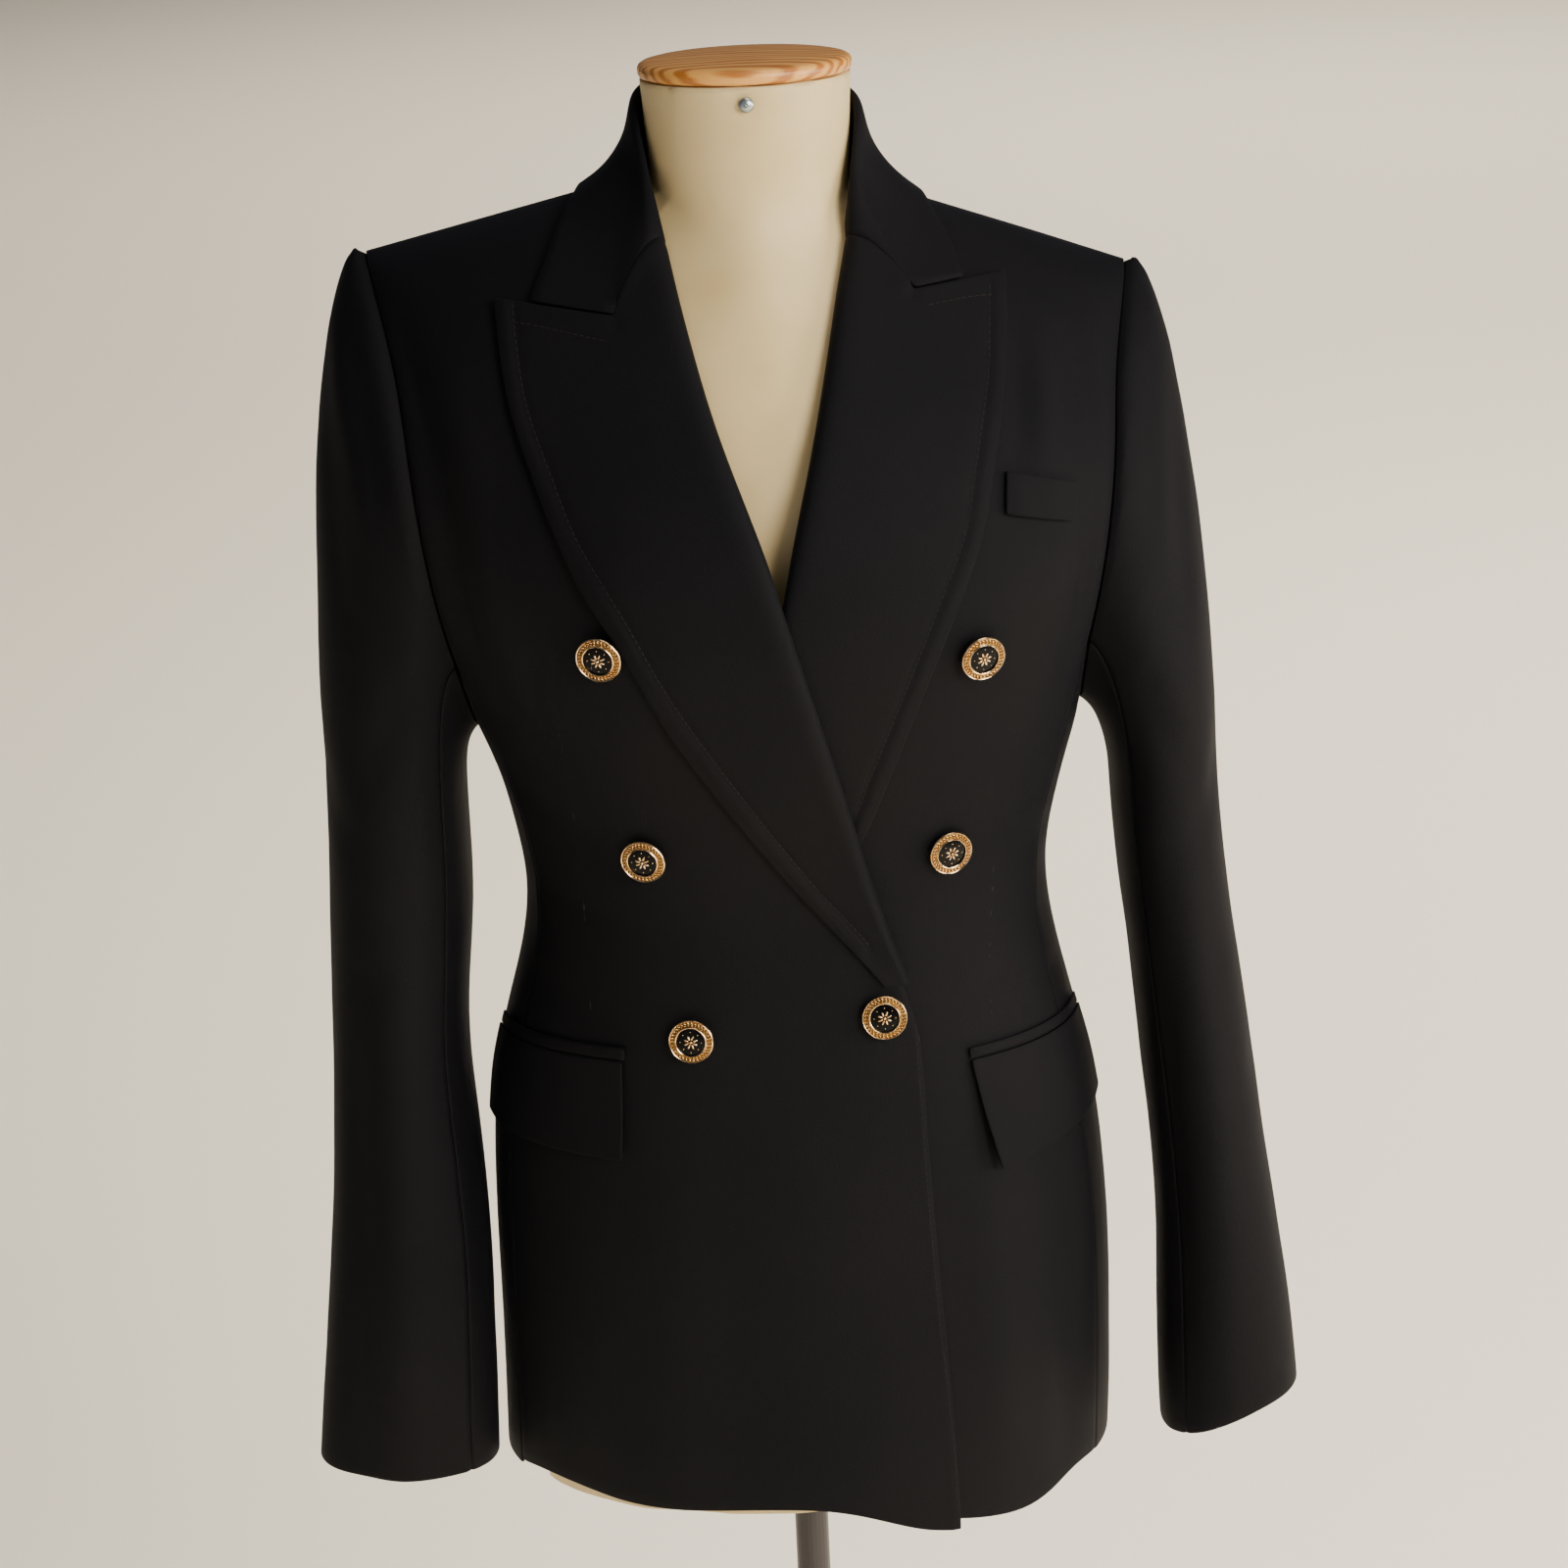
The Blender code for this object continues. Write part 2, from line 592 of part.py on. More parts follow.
def notch_dip(side, share):
    """How far the lapel's top edge dips below a straight line from the gorge to the peak."""
    notch = notch_share(side)
    deepest = GORGE_TOP[side][1] + (PEAK[side][1] - GORGE_TOP[side][1]) * notch - NOTCH[side][1]
    if share < notch:
        return deepest * (share / notch) ** 1.7
    return deepest * (1 - share) / (1 - notch)


def swell_at(share):
    """How far a turned-over layer stands out, from the roll to its edge."""
    return LAPEL_OUT + ROLL_SWELL * (1 - share) ** 1.5


def lapel(name, side, edge_rows, outer_rows, lift, tree):
    """A lapel: it turns over at the roll line and lies on its front, out to its edge and peak."""
    gorge, peak, notch = GORGE_TOP[side], PEAK[side], notch_share(side)
    shares = [0.05, notch * 0.55, notch, 0.46, 0.64, 0.82, 1.0]
    outside = []
    for i in range(LAPEL_ROWS):
        rise = i / (LAPEL_ROWS - 1)
        roll_z = LAPEL_FOOT[side] + (gorge[1] - SEAM_GAP - LAPEL_FOOT[side]) * rise
        roll_x = read_rows(edge_rows, z_to_level(roll_z, gorge[0]), 1)
        edge_z = LAPEL_FOOT[side] + (peak[1] - LAPEL_FOOT[side]) * rise
        edge_x = read_rows(outer_rows, edge_z, 1)
        full = blend(1.040, 1.085, roll_z) if side > 0 else blend(0.836, 0.880, roll_z)
        line = []
        for beyond, out in ROLL_SECTION:
            out = out if out < 0 else out * (0.55 + 0.45 * full)
            line.append(roll_point(side, roll_x, roll_z, beyond, lift(roll_x, roll_z) + out))
        for share in shares:
            x = roll_x + (edge_x - roll_x) * share
            z = roll_z + (edge_z - roll_z) * share - notch_dip(side, share) * rise**5
            out = LAPEL_OUT + (swell_at(share) - LAPEL_OUT) * full
            line.append(clear_of(tree, front_point(x, z, lift(x, z) + out), LAPEL_OUT))
        outside.append(line)
    return cloth_wall(name, outside, grid_inside(outside, CLOTH, side))


# The collar's sections from the gorge round to the centre back, on the left side: the share of the way,
# then the neck side of the roll, the foot of the stand and the outer edge.
COLLAR_SECTIONS = [
    (0.17, (0.0505, -0.0285, 1.2640), (0.0480, -0.0310, 1.2420), (0.1010, -0.0280, 1.2318)),
    (0.40, (0.0553, -0.0040, 1.2945), (0.0595, 0.0040, 1.2560), (0.0905, 0.0020, 1.2497)),
    (0.62, (0.0490, 0.0340, 1.3000), (0.0515, 0.0360, 1.2520), (0.0800, 0.0460, 1.2425)),
    (0.82, (0.0280, 0.0550, 1.3020), (0.0300, 0.0545, 1.2465), (0.0480, 0.0735, 1.2310)),
    (1.00, (0.0000, 0.0605, 1.3025), (0.0000, 0.0590, 1.2470), (0.0000, 0.0765, 1.2300)),
]
# The roll's section over the stand: how far out from its neck side, and how far below its crest.
COLLAR_ROLL = [(0.0, 0.0050), (0.0007, 0.0014), (0.0029, 0.0), (0.0051, 0.0020), (0.0063, 0.0062)]
FALL_SHARES = [0.25, 0.5, 0.75, 1.0]
RIGHT_SIDE_DROP = 0.125
COLLAR_STEPS = 13


def collar_end(side, lift):
    """The collar's first section, along the gorge seam to the notch and on to the collar's point."""
    gorge, peak, notch = GORGE_TOP[side], PEAK[side], notch_share(side)
    line = []
    for beyond, out in [(0.0028, -0.0012), (0.0030, 0.0002), (0.0030, 0.0016), (0.0024, 0.0034), (0.0014, 0.0048)]:
        line.append(roll_point(side, gorge[0], gorge[1] + SEAM_GAP, beyond, lift(*gorge) + out))
    point_share = (COLLAR_POINT[side] - gorge[0]) / (peak[0] - gorge[0])
    for share in (0.05, notch * 0.4, notch * 0.75, notch, (notch + point_share) / 2, point_share):
        x = gorge[0] + (peak[0] - gorge[0]) * share
        z = gorge[1] + (peak[1] - gorge[1]) * share - notch_dip(side, share)
        gap = SEAM_GAP + 0.0004 * max(0.0, share - notch) / (point_share - notch)
        line.append(front_point(x, z + gap * 1.4, lift(x, z) + swell_at(share)))
    return line


def collar_section(side, roll, foot, edge):
    """One section of the collar: up the stand, over the roll and down the fall to its edge."""
    points = []
    for place, share in ((roll, 1.0), (foot, 1.0), (edge, 0.86)):
        drop = RIGHT_SIDE_DROP * share * place[0] if side > 0 else 0.0
        points.append(Vector((side * place[0], place[1], place[2] - drop)))
    roll, foot, edge = points
    away = Vector((edge.x - roll.x, edge.y - roll.y, 0)).normalized()
    line = [foot]
    for out, below in COLLAR_ROLL:
        line.append(roll + away * out - Vector((0, 0, below)))
    line.insert(1, foot.lerp(line[1], 0.5))
    start = line.pop()
    line.append(start)
    for share in FALL_SHARES:
        flat = start.lerp(edge, share**1.8)
        height = start.z + (edge.z - start.z) * share**0.9
        line.append(Vector((flat.x, flat.y, height)))
    return line


def collar(name, lift, tree):
    """The collar in one piece, from the left gorge round the back of the neck to the right one."""
    halves = {}
    for side in (-1, 1):
        first = collar_end(side, lift if side < 0 else no_lift)
        keys = [(0.0, first)] + [(row[0], collar_section(side, *row[1:])) for row in COLLAR_SECTIONS]
        count = len(keys[0][1])
        halves[side] = []
        for i in range(COLLAR_STEPS + 1):
            share = i / COLLAR_STEPS
            line = []
            for j in range(count):
                rows = [(key[0], *key[1][j]) for key in keys]
                point = Vector([read_rows(rows, share, k) for k in (1, 2, 3)])
                if i > 0 and j > 5:
                    point = clear_of(tree, point, LAPEL_OUT + 0.0014 * math.sin(math.pi * share))
                line.append(point)
            halves[side].append(line)
    outside = halves[-1] + halves[1][-2::-1]
    return cloth_wall(name, outside, grid_inside(outside, CLOTH, -1))


FLAP_OUT = 0.0026


def placed_wall(name, side, rows, lift, thickness, stand_off):
    """A small piece that lies on the body: its rows run from the front backwards, top row first."""
    outside, inside = [], []
    for row in rows:
        outer_row, inner_row = [], []
        for angle, height, out in row:
            flat = torso_surface(angle, height)
            base = lift(flat.x, flat.z) + out
            outer_row.append(torso_point(angle, height, base + stand_off))
            inner_row.append(torso_point(angle, height, base + stand_off - thickness))
        outside.append(outer_row)
        inside.append(inner_row)
    return cloth_wall(name, outside, inside)


def flap_rows(side, corners, back_angle, flare, steps=8, downs=5):
    """A flap between its top and bottom rows. Corners: x and z at the front, z at the back, top then bottom."""
    (top_x, top_z, top_back), (low_x, low_z, low_back) = corners
    rows = []
    for i in range(downs):
        down = i / (downs - 1)
        row = []
        for j in range(steps):
            share = j / (steps - 1)
            z_front, z_back = top_z + (low_z - top_z) * down, top_back + (low_back - top_back) * down
            height = z_front + (z_back - z_front) * share
            first = abs(front_angle(top_x + (low_x - top_x) * down, height))
            angle = side * (first + (back_angle - first) * share)
            row.append((angle, height, flare * down**2 * (1 - share) ** 2))
        rows.append(row)
    return rows


def turned(name, profile, segments, place, axis, look):
    """A solid turned round an axis, from a profile of radius and height that starts and ends on it."""
    mesh_data = bmesh.new()
    turn = axis.to_track_quat("Z", "Y")
    rings = []
    for radius, height in profile:
        if radius == 0:
            rings.append([mesh_data.verts.new(place + turn @ Vector((0, 0, height)))])
            continue
        ring = []
        for k in range(segments):
            angle = 2 * math.pi * k / segments
            local = Vector((radius * math.cos(angle), radius * math.sin(angle), height))
            ring.append(mesh_data.verts.new(place + turn @ local))
        rings.append(ring)
    for low, high in zip(rings, rings[1:]):
        for k in range(segments):
            after = (k + 1) % segments
            corners = [low[k % len(low)], low[after % len(low)], high[after % len(high)], high[k % len(high)]]
            mesh_data.faces.new(list(dict.fromkeys(corners)))
    return add_object(name, mesh_data, look)


BUTTONS = [
    ("upper_left", -0.0847, 1.0341, 0.05),
    ("upper_right", 0.1059, 1.0218, -0.04),
    ("middle_left", -0.0688, 0.9183, 0.04),
    ("middle_right", 0.0873, 0.9104, -0.03),
    ("lower_left", -0.0501, 0.8159, 0.02),
    ("lower_right", 0.0497, 0.8239, -0.03),
]
BUTTON_PROFILE = [
    (0, 0.0),
    (0.0030, 0.0),
    (0.0030, 0.0022),
    (0.0108, 0.0022),
    (0.0121, 0.0034),
    (0.0116, 0.0049),
    (0.0098, 0.0054),
    (0.0086, 0.0047),
    (0.0086, 0.0032),
    (0, 0.0032),
]
ENAMEL_PROFILE = [(0, 0.0034), (0.0083, 0.0034), (0.0083, 0.0046), (0.0045, 0.0056), (0, 0.0059)]


def button(word, x, z, tilt):
    """A shanked button with a turned rim, and the enamel centre that is set into it."""
    over = x < 0 or z < 0.86
    seat = (over_lift(x, z) if over else 0.0) + 0.0004
    place = front_point(x, z, seat)
    level = z_to_level(z, x)
    axis = torso_normal(front_angle(x, level), height_of(level))
    axis = (axis + Vector((tilt * 0.2, 0, 0.04))).normalized()
    turned(f"button_{word}", BUTTON_PROFILE, 16, place + axis * 0.0002, axis, GOLD)
    turned(f"button_centre_{word}", ENAMEL_PROFILE, 16, place + axis * 0.0002, axis, ENAMEL)


# The form: half width, reach to the front and to the back by level, and the round neck's radius.
FORM_ROWS = [
    (0.539, 0.1600, 0.1030, 0.1030, 0.010),
    (0.600, 0.1595, 0.1050, 0.1060, 0.010),
    (0.660, 0.1590, 0.1040, 0.1070, 0.010),
    (0.720, 0.1575, 0.0990, 0.1020, 0.010),
    (0.770, 0.1530, 0.0930, 0.0940, 0.010),
    (0.810, 0.1420, 0.0880, 0.0870, 0.010),
    (0.845, 0.1320, 0.0850, 0.0820, 0.010),
    (0.880, 0.1280, 0.0850, 0.0810, 0.010),
    (0.915, 0.1310, 0.0900, 0.0840, 0.010),
    (0.950, 0.1370, 0.0970, 0.0890, 0.010),
    (1.000, 0.1450, 0.1060, 0.0950, 0.010),
    (1.050, 0.1500, 0.1090, 0.1000, 0.030),
    (1.100, 0.1560, 0.1060, 0.1020, 0.060),
    (1.150, 0.1610, 0.0950, 0.0980, 0.075),
    (1.200, 0.1600, 0.0740, 0.0800, 0.068),
    (1.230, 0.1560, 0.0530, 0.0600, 0.0525),
    (1.246, 0.1440, 0.0330, 0.0420, 0.0505),
    (1.256, 0.1300, 0.0230, 0.0280, 0.0505),
    (1.2615, 0.1080, 0.0200, 0.0200, 0.0510),
    (1.2635, 0.0400, 0.0080, 0.0080, 0.0510),
    (1.270, 0.0400, 0.0080, 0.0080, 0.0515),
    (1.280, 0.0300, 0.0080, 0.0080, 0.0530),
    (1.2925, 0.0300, 0.0080, 0.0080, 0.0535),
    (1.3055, 0.0300, 0.0080, 0.0080, 0.0545),
]
FORM_COLUMNS = 36
SHOULDER_ROOM = 0.0065


def form_radius(row, middle, direction):
    """The form's reach from the middle in one direction: the body or the neck, softly joined."""
    level, half, front, back, neck = row
    across, along = math.sin(direction), math.cos(direction)
    level = min(level, SHOULDER_TOP - 0.001)
    depth = level_and_depth(height_of(level))[1]
    if along > 0:
        reach = min(front + middle, torso_value(level, "front") * depth - SHOULDER_ROOM)
    else:
        reach = min(back - middle, torso_value(level, "back") * depth - SHOULDER_ROOM)
    power = 2.3
    body = ((abs(across) / half) ** power + (abs(along) / max(reach, 0.004)) ** power) ** (-1 / power)
    shift = middle * along
    round_neck = shift + math.sqrt(max(shift**2 - middle**2 + neck**2, 0.0))
    return (body**10 + round_neck**10) ** 0.1


def form(name, tree):
    """The form in one closed solid, pulled in wherever it would come too close to the cloth."""
    mesh_data = bmesh.new()
    rings = []
    for row in FORM_ROWS:
        fade = 1 - blend(1.266, 1.290, row[0])
        middle = torso_value(row[0], "middle") * fade
        ring = []
        for k in range(FORM_COLUMNS):
            direction = 2 * math.pi * (k + 0.5) / FORM_COLUMNS
            radius = form_radius(row, middle, direction)
            flat = Vector((math.sin(direction), -math.cos(direction), 0))
            height = row[0] + (level_to_z(row[0], flat.x * radius) - row[0]) * fade
            axis = Vector((0, middle, height))
            _, _, _, distance = tree.ray_cast(axis, flat, radius + 0.02)
            if distance is not None:
                radius = min(radius, distance - 0.0020)
            point = clear_of(tree, axis + flat * radius, TOUCH_GAP * 2)
            below = Vector((point.x, point.y, point.z - 0.05))
            _, _, _, distance = tree.ray_cast(below, Vector((0, 0, 1)), 0.06)
            if distance is not None and 1.15 < row[0] < 1.28:
                point.z = min(point.z, below.z + distance - TOUCH_GAP * 4)
            if row[0] in (FORM_ROWS[0][0], FORM_ROWS[-1][0]):
                point.z = row[0]
            ring.append(mesh_data.verts.new(point))
        rings.append(ring)
    for low, high in zip(rings, rings[1:]):
        for k in range(FORM_COLUMNS):
            after = (k + 1) % FORM_COLUMNS
            mesh_data.faces.new((low[k], low[after], high[after], high[k]))
    mesh_data.faces.new(rings[0][::-1])
    mesh_data.faces.new(rings[-1])
    return add_object(name, mesh_data, IVORY)


CAP_FOOT = NECK_TOP + TOUCH_GAP
CAP_PROFILE = [
    (0, 0.0),
    (CAP_RADIUS - 0.0015, 0.0),
    (CAP_RADIUS, 0.0015),
    (CAP_RADIUS, 0.0055),
    (CAP_RADIUS - 0.0025, 0.0078),
    (CAP_RADIUS - 0.008, CAP_THICKNESS),
    (0, CAP_THICKNESS + 0.0022),
]
SCREW_PROFILE = [(0, 0.0), (0.0040, 0.0), (0.0038, 0.0012), (0.0026, 0.0022), (0, 0.0026)]
BASE_PROFILE = [
    (0, 0.0),
    (BASE_RADIUS - 0.002, 0.0),
    (BASE_RADIUS, 0.002),
    (BASE_RADIUS, 0.009),
    (BASE_RADIUS - 0.003, BASE_THICKNESS),
    (0, BASE_THICKNESS),
]
HUB_PROFILE = [
    (POLE_RADIUS + 0.0003, 0.0),
    (0.030, 0.0),
    (0.030, 0.003),
    (0.018, 0.010),
    (0.016, 0.040),
    (0.0145, 0.042),
    (POLE_RADIUS + 0.0003, 0.042),
]


def hub(name, place):
    """A ring round the pole's foot: its profile closes on itself."""
    mesh_data = bmesh.new()
    segments = 28
    rings = []
    for radius, height in HUB_PROFILE:
        angles = [2 * math.pi * k / segments for k in range(segments)]
        spots = [Vector((radius * math.cos(a), radius * math.sin(a), height)) for a in angles]
        rings.append([mesh_data.verts.new(place + spot) for spot in spots])
    for low, high in zip(rings, rings[1:] + rings[:1]):
        for k in range(segments):
            after = (k + 1) % segments
            mesh_data.faces.new((low[k], low[after], high[after], high[k]))
    return add_object(name, mesh_data, DARK_STEEL)


def build():
    """Makes every piece, the cloth first, because the form is fitted inside it."""
    cloth = []
    cloth.append(front_panel("front_left", -1, LEFT_EDGE, LEFT_HEM, over_lift))
    cloth.append(front_panel("front_right", 1, RIGHT_EDGE, RIGHT_HEM, no_lift))
    for side, word in ((-1, "left"), (1, "right")):
        cloth.append(side_panel(f"side_panel_{word}", side))
        cloth.append(back_panel(f"back_{word}", side))
    panels = tree_of(cloth)
    for side, word in ((-1, "left"), (1, "right")):
        rows = LEFT_SLEEVE if side < 0 else RIGHT_SLEEVE
        upper = spread(-BACK_JUNCTION, 0, ARMHOLE_STEPS + 1) + spread(0, JUNCTION, ARMHOLE_STEPS + 1)[1:]
        cloth.append(sleeve_half(f"sleeve_upper_{word}", side, rows, upper))
        under = spread(JUNCTION, 2 * math.pi - BACK_JUNCTION, UNDERARM_STEPS + 1)
        cloth.append(sleeve_half(f"sleeve_under_{word}", side, rows, under))
    cloth.append(lapel("lapel_left", -1, LEFT_EDGE, LEFT_LAPEL, over_lift, tree_of(cloth[:1])))
    cloth.append(lapel("lapel_right", 1, RIGHT_EDGE, RIGHT_LAPEL, no_lift, tree_of(cloth[1:2])))
    cloth.append(collar("collar", over_lift, panels))

    left_flap = flap_rows(-1, ((-0.0878, 0.8015, 0.7990), (-0.0901, 0.7486, 0.7500)), math.radians(84), 0.002)
    placed_wall("pocket_flap_left", -1, left_flap, over_lift, CLOTH, FLAP_OUT)
    right_flap = flap_rows(1, ((0.0953, 0.7925, 0.7960), (0.1070, 0.7325, 0.7480)), math.radians(83), 0.006)
    placed_wall("pocket_flap_right", 1, right_flap, no_lift, CLOTH, FLAP_OUT)
    left_strip = flap_rows(-1, ((-0.0858, 0.8090, 0.8060), (-0.0862, 0.8022, 0.7997)), math.radians(84), 0.0, 8, 2)
    placed_wall("pocket_jetting_left", -1, left_strip, over_lift, 0.0012, 0.0020)
    right_strip = flap_rows(1, ((0.0945, 0.7990, 0.8025), (0.0950, 0.7932, 0.7967)), math.radians(83), 0.0, 8, 2)
    placed_wall("pocket_jetting_right", 1, right_strip, no_lift, 0.0012, 0.0020)

    welt = []
    for down in (0.0, 0.5, 1.0):
        row = []
        for share in (0.0, 0.25, 0.5, 0.75, 1.0):
            x = 0.1178 - 0.0011 * down + (0.0363 - 0.0010 * down) * share
            z = 1.1132 - 0.0203 * down - (0.0097 - 0.0014 * down) * share
            level = z_to_level(z, x)
            row.append((front_angle(x, level), height_of(level), 0.0))
        welt.append(row)
    placed_wall("chest_welt", 1, welt, no_lift, CLOTH, 0.0024)

    for word, x, z, tilt in BUTTONS:
        button(word, x, z, tilt)

    form("form", tree_of(cloth))
    up = Vector((0, 0, 1))
    turned("neck_cap", CAP_PROFILE, 40, Vector((0, 0, CAP_FOOT)), up, BEECH)
    forward = Vector((0, -1, 0))
    turned("neck_screw", SCREW_PROFILE, 14, Vector((0, -0.0544, 1.2968)), forward, STEEL)
    foot = BASE_THICKNESS + TOUCH_GAP
    reach = FORM_FOOT - TOUCH_GAP - foot
    pole = [(0, 0.0), (POLE_RADIUS, 0.0), (POLE_RADIUS, reach / 2), (POLE_RADIUS, reach), (0, reach)]
    turned("pole", pole, 24, Vector((0, 0, foot)), up, DARK_STEEL)
    turned("base", BASE_PROFILE, 48, Vector((0, 0, 0)), up, DARK_STEEL)
    hub("base_hub", Vector((0, 0, foot)))


if __name__ == "__main__":
    for old in list(bpy.data.objects):
        bpy.data.objects.remove(old, do_unlink=True)
    build()
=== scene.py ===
"""The looks of a black double-breasted blazer on a limbless dress form.

Metres, +Z up, the front faces -Y. "left" and "right" are the viewer's, seen from the front.
Run it with Blender 4.5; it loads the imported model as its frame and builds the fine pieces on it.
"""
import math

import bmesh
import bpy
from mathutils import Matrix, Vector, noise
from mathutils.bvhtree import BVHTree


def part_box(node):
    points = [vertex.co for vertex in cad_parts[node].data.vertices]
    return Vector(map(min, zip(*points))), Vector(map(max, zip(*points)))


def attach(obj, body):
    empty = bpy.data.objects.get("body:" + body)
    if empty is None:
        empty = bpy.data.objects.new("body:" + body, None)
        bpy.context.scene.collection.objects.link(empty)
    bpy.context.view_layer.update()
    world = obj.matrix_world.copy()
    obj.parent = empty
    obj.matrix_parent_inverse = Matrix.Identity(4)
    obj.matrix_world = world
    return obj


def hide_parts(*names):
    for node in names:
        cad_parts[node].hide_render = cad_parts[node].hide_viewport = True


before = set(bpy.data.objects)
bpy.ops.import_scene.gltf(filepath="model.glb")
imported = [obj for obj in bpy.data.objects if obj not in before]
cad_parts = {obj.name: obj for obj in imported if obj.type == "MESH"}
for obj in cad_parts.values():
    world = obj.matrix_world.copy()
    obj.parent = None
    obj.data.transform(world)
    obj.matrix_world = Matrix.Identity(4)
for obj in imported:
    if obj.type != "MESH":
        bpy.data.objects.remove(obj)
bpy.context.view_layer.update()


# The camera stands a little above the shoulders and looks down at the blazer. It is rolled by a few
# degrees, as the photo is.
camera_data = bpy.data.cameras.new("camera")
camera_data.lens = 90
camera_data.sensor_width = 36
camera_data.sensor_fit = "HORIZONTAL"
camera = bpy.data.objects.new("camera", camera_data)
bpy.context.collection.objects.link(camera)
pitch = math.radians(17.5)
roll = math.radians(2.63)
forward = Vector((0, math.cos(pitch), -math.sin(pitch)))
level_right = Vector((1, 0, 0))
level_up = level_right.cross(forward)
camera_right = level_right * math.cos(roll) - level_up * math.sin(roll)
camera_up = level_right * math.sin(roll) + level_up * math.cos(roll)
camera_turn = Matrix((camera_right, camera_up, -forward)).transposed()
camera.matrix_world = Matrix.Translation((0.0034, -2.0228, 1.56148)) @ camera_turn.to_4x4()
bpy.context.scene.camera = camera


# The floor is one pale warm grey plane. It reaches far enough to fill the view behind the stand.
def linear(hex_colour):
    """Turns a colour as seen on screen, such as #c8964f, into the linear values that shaders take."""
    channels = [int(hex_colour[i : i + 2], 16) / 255 for i in (1, 3, 5)]
    bent = [c / 12.92 if c <= 0.04045 else ((c + 0.055) / 1.055) ** 2.4 for c in channels]
    return (*bent, 1.0)


def add_node(material, kind, inputs=(), **settings):
    """Adds one shader node. Inputs are pairs of a socket and either a value or another node's output."""
    node = material.node_tree.nodes.new(kind)
    for key, value in settings.items():
        setattr(node, key, value)
    for socket, value in inputs:
        if isinstance(value, bpy.types.NodeSocket):
            material.node_tree.links.new(value, node.inputs[socket])
        else:
            node.inputs[socket].default_value = value
    return node


def new_material(name, colour, roughness, sockets=()):
    """A Principled material and its shader, with the values that are the same all over."""
    material = bpy.data.materials.new(name)
    material.use_nodes = True
    shader = material.node_tree.nodes["Principled BSDF"]
    shader.inputs["Base Color"].default_value = linear(colour)
    shader.inputs["Roughness"].default_value = roughness
    for socket, value in sockets:
        shader.inputs[socket].default_value = value
    return material, shader


def set_bump(material, shader, height, strength, distance):
    """Sends a height through a bump node into the shader's normal."""
    inputs = [("Height", height), ("Strength", strength), ("Distance", distance)]
    bump = add_node(material, "ShaderNodeBump", inputs)
    material.node_tree.links.new(bump.outputs["Normal"], shader.inputs["Normal"])


def object_place(material):
    """Where a point lies on its object, in metres. The textures are laid out by it."""
    return add_node(material, "ShaderNodeTexCoord").outputs["Object"]


def noise_height(material, place, scale, detail=2.0):
    """The height of a noise texture at each place."""
    inputs = [("Vector", place), ("Scale", scale), ("Detail", detail)]
    return add_node(material, "ShaderNodeTexNoise", inputs).outputs["Fac"]


def set_tones(material, shader, height, low, high):
    """Colours a material from one tone to another. Each comes with the height where it is reached."""
    ramp = add_node(material, "ShaderNodeValToRGB", [("Fac", height)])
    for stop, (position, colour) in zip(ramp.color_ramp.elements, (low, high)):
        stop.position = position
        stop.color = linear(colour)
    material.node_tree.links.new(ramp.outputs["Color"], shader.inputs["Base Color"])


def set_roughness(material, shader, height, low, high):
    """Lets a height vary the roughness between two values."""
    inputs = [("Value", height), ("To Min", low), ("To Max", high)]
    spread = add_node(material, "ShaderNodeMapRange", inputs)
    material.node_tree.links.new(spread.outputs["Result"], shader.inputs["Roughness"])


floor_paint, _ = new_material("pale warm grey floor", "#f0e7d5", 0.9)
FLOOR_REACH = 40.0
floor = bmesh.new()
corners = [(-1, -1), (1, -1), (1, 1), (-1, 1)]
floor.faces.new([floor.verts.new((x * FLOOR_REACH, y * FLOOR_REACH, -0.0006)) for x, y in corners])
floor_mesh = bpy.data.meshes.new("floor")
floor.to_mesh(floor_mesh)
floor.free()
floor_mesh.materials.append(floor_paint)
ground = bpy.data.objects.new("floor", floor_mesh)
bpy.context.collection.objects.link(ground)


# The light is a soft window from the right and front, a little from the side and the ceiling, a weak
# fill from the left and a pale room. Three wide lamps light only the floor, so that it stays even.
def area_light(name, place, target, size, power, colour):
    light = bpy.data.lights.new(name, "AREA")
    light.shape = "DISK"
    light.size = size
    light.energy = power
    light.color = linear(colour)[:3]
    lamp = bpy.data.objects.new(name, light)
    lamp.location = place
    lamp.rotation_euler = (Vector(target) - Vector(place)).to_track_quat("-Z", "Y").to_euler()
    bpy.context.collection.objects.link(lamp)
    return lamp


area_light("window", (1.75, -2.35, 2.05), (0, 0.1, 0.95), 1.6, 100, "#fff8ee")
area_light("window from the side", (2.45, -0.75, 1.25), (0.1, 0, 0.95), 1.3, 50, "#fff8ee")
area_light("ceiling", (0.5, -0.2, 2.95), (0.1, 0, 1.2), 1.2, 13, "#fff6e8")
area_light("fill", (-1.1, -2.7, 1.3), (0, 0, 0.9), 1.6, 4.5, "#e2e9ff")
floor_only = bpy.data.collections.new("floor only")
floor_only.objects.link(ground)
for name, place, target, size, power in (
    ("near floor wash", (1.7, 3.0, 3.4), (1.2, 3.0, 0), 2.4, 175),
    ("far floor wash", (1.9, 9.0, 6.0), (1.4, 9.5, 0), 4.0, 600),
    ("front floor wash", (0, -8.5, 5.5), (0, -9.5, 0), 4.0, 420),
):
    wash = area_light(name, place, target, size, power, "#fff6e8")
    wash.light_linking.receiver_collection = floor_only
world = bpy.data.worlds.new("room")
world.use_nodes = True
world.node_tree.nodes["Background"].inputs["Color"].default_value = linear("#dfe6f2")
world.node_tree.nodes["Background"].inputs["Strength"].default_value = 0.15
bpy.context.scene.world = world


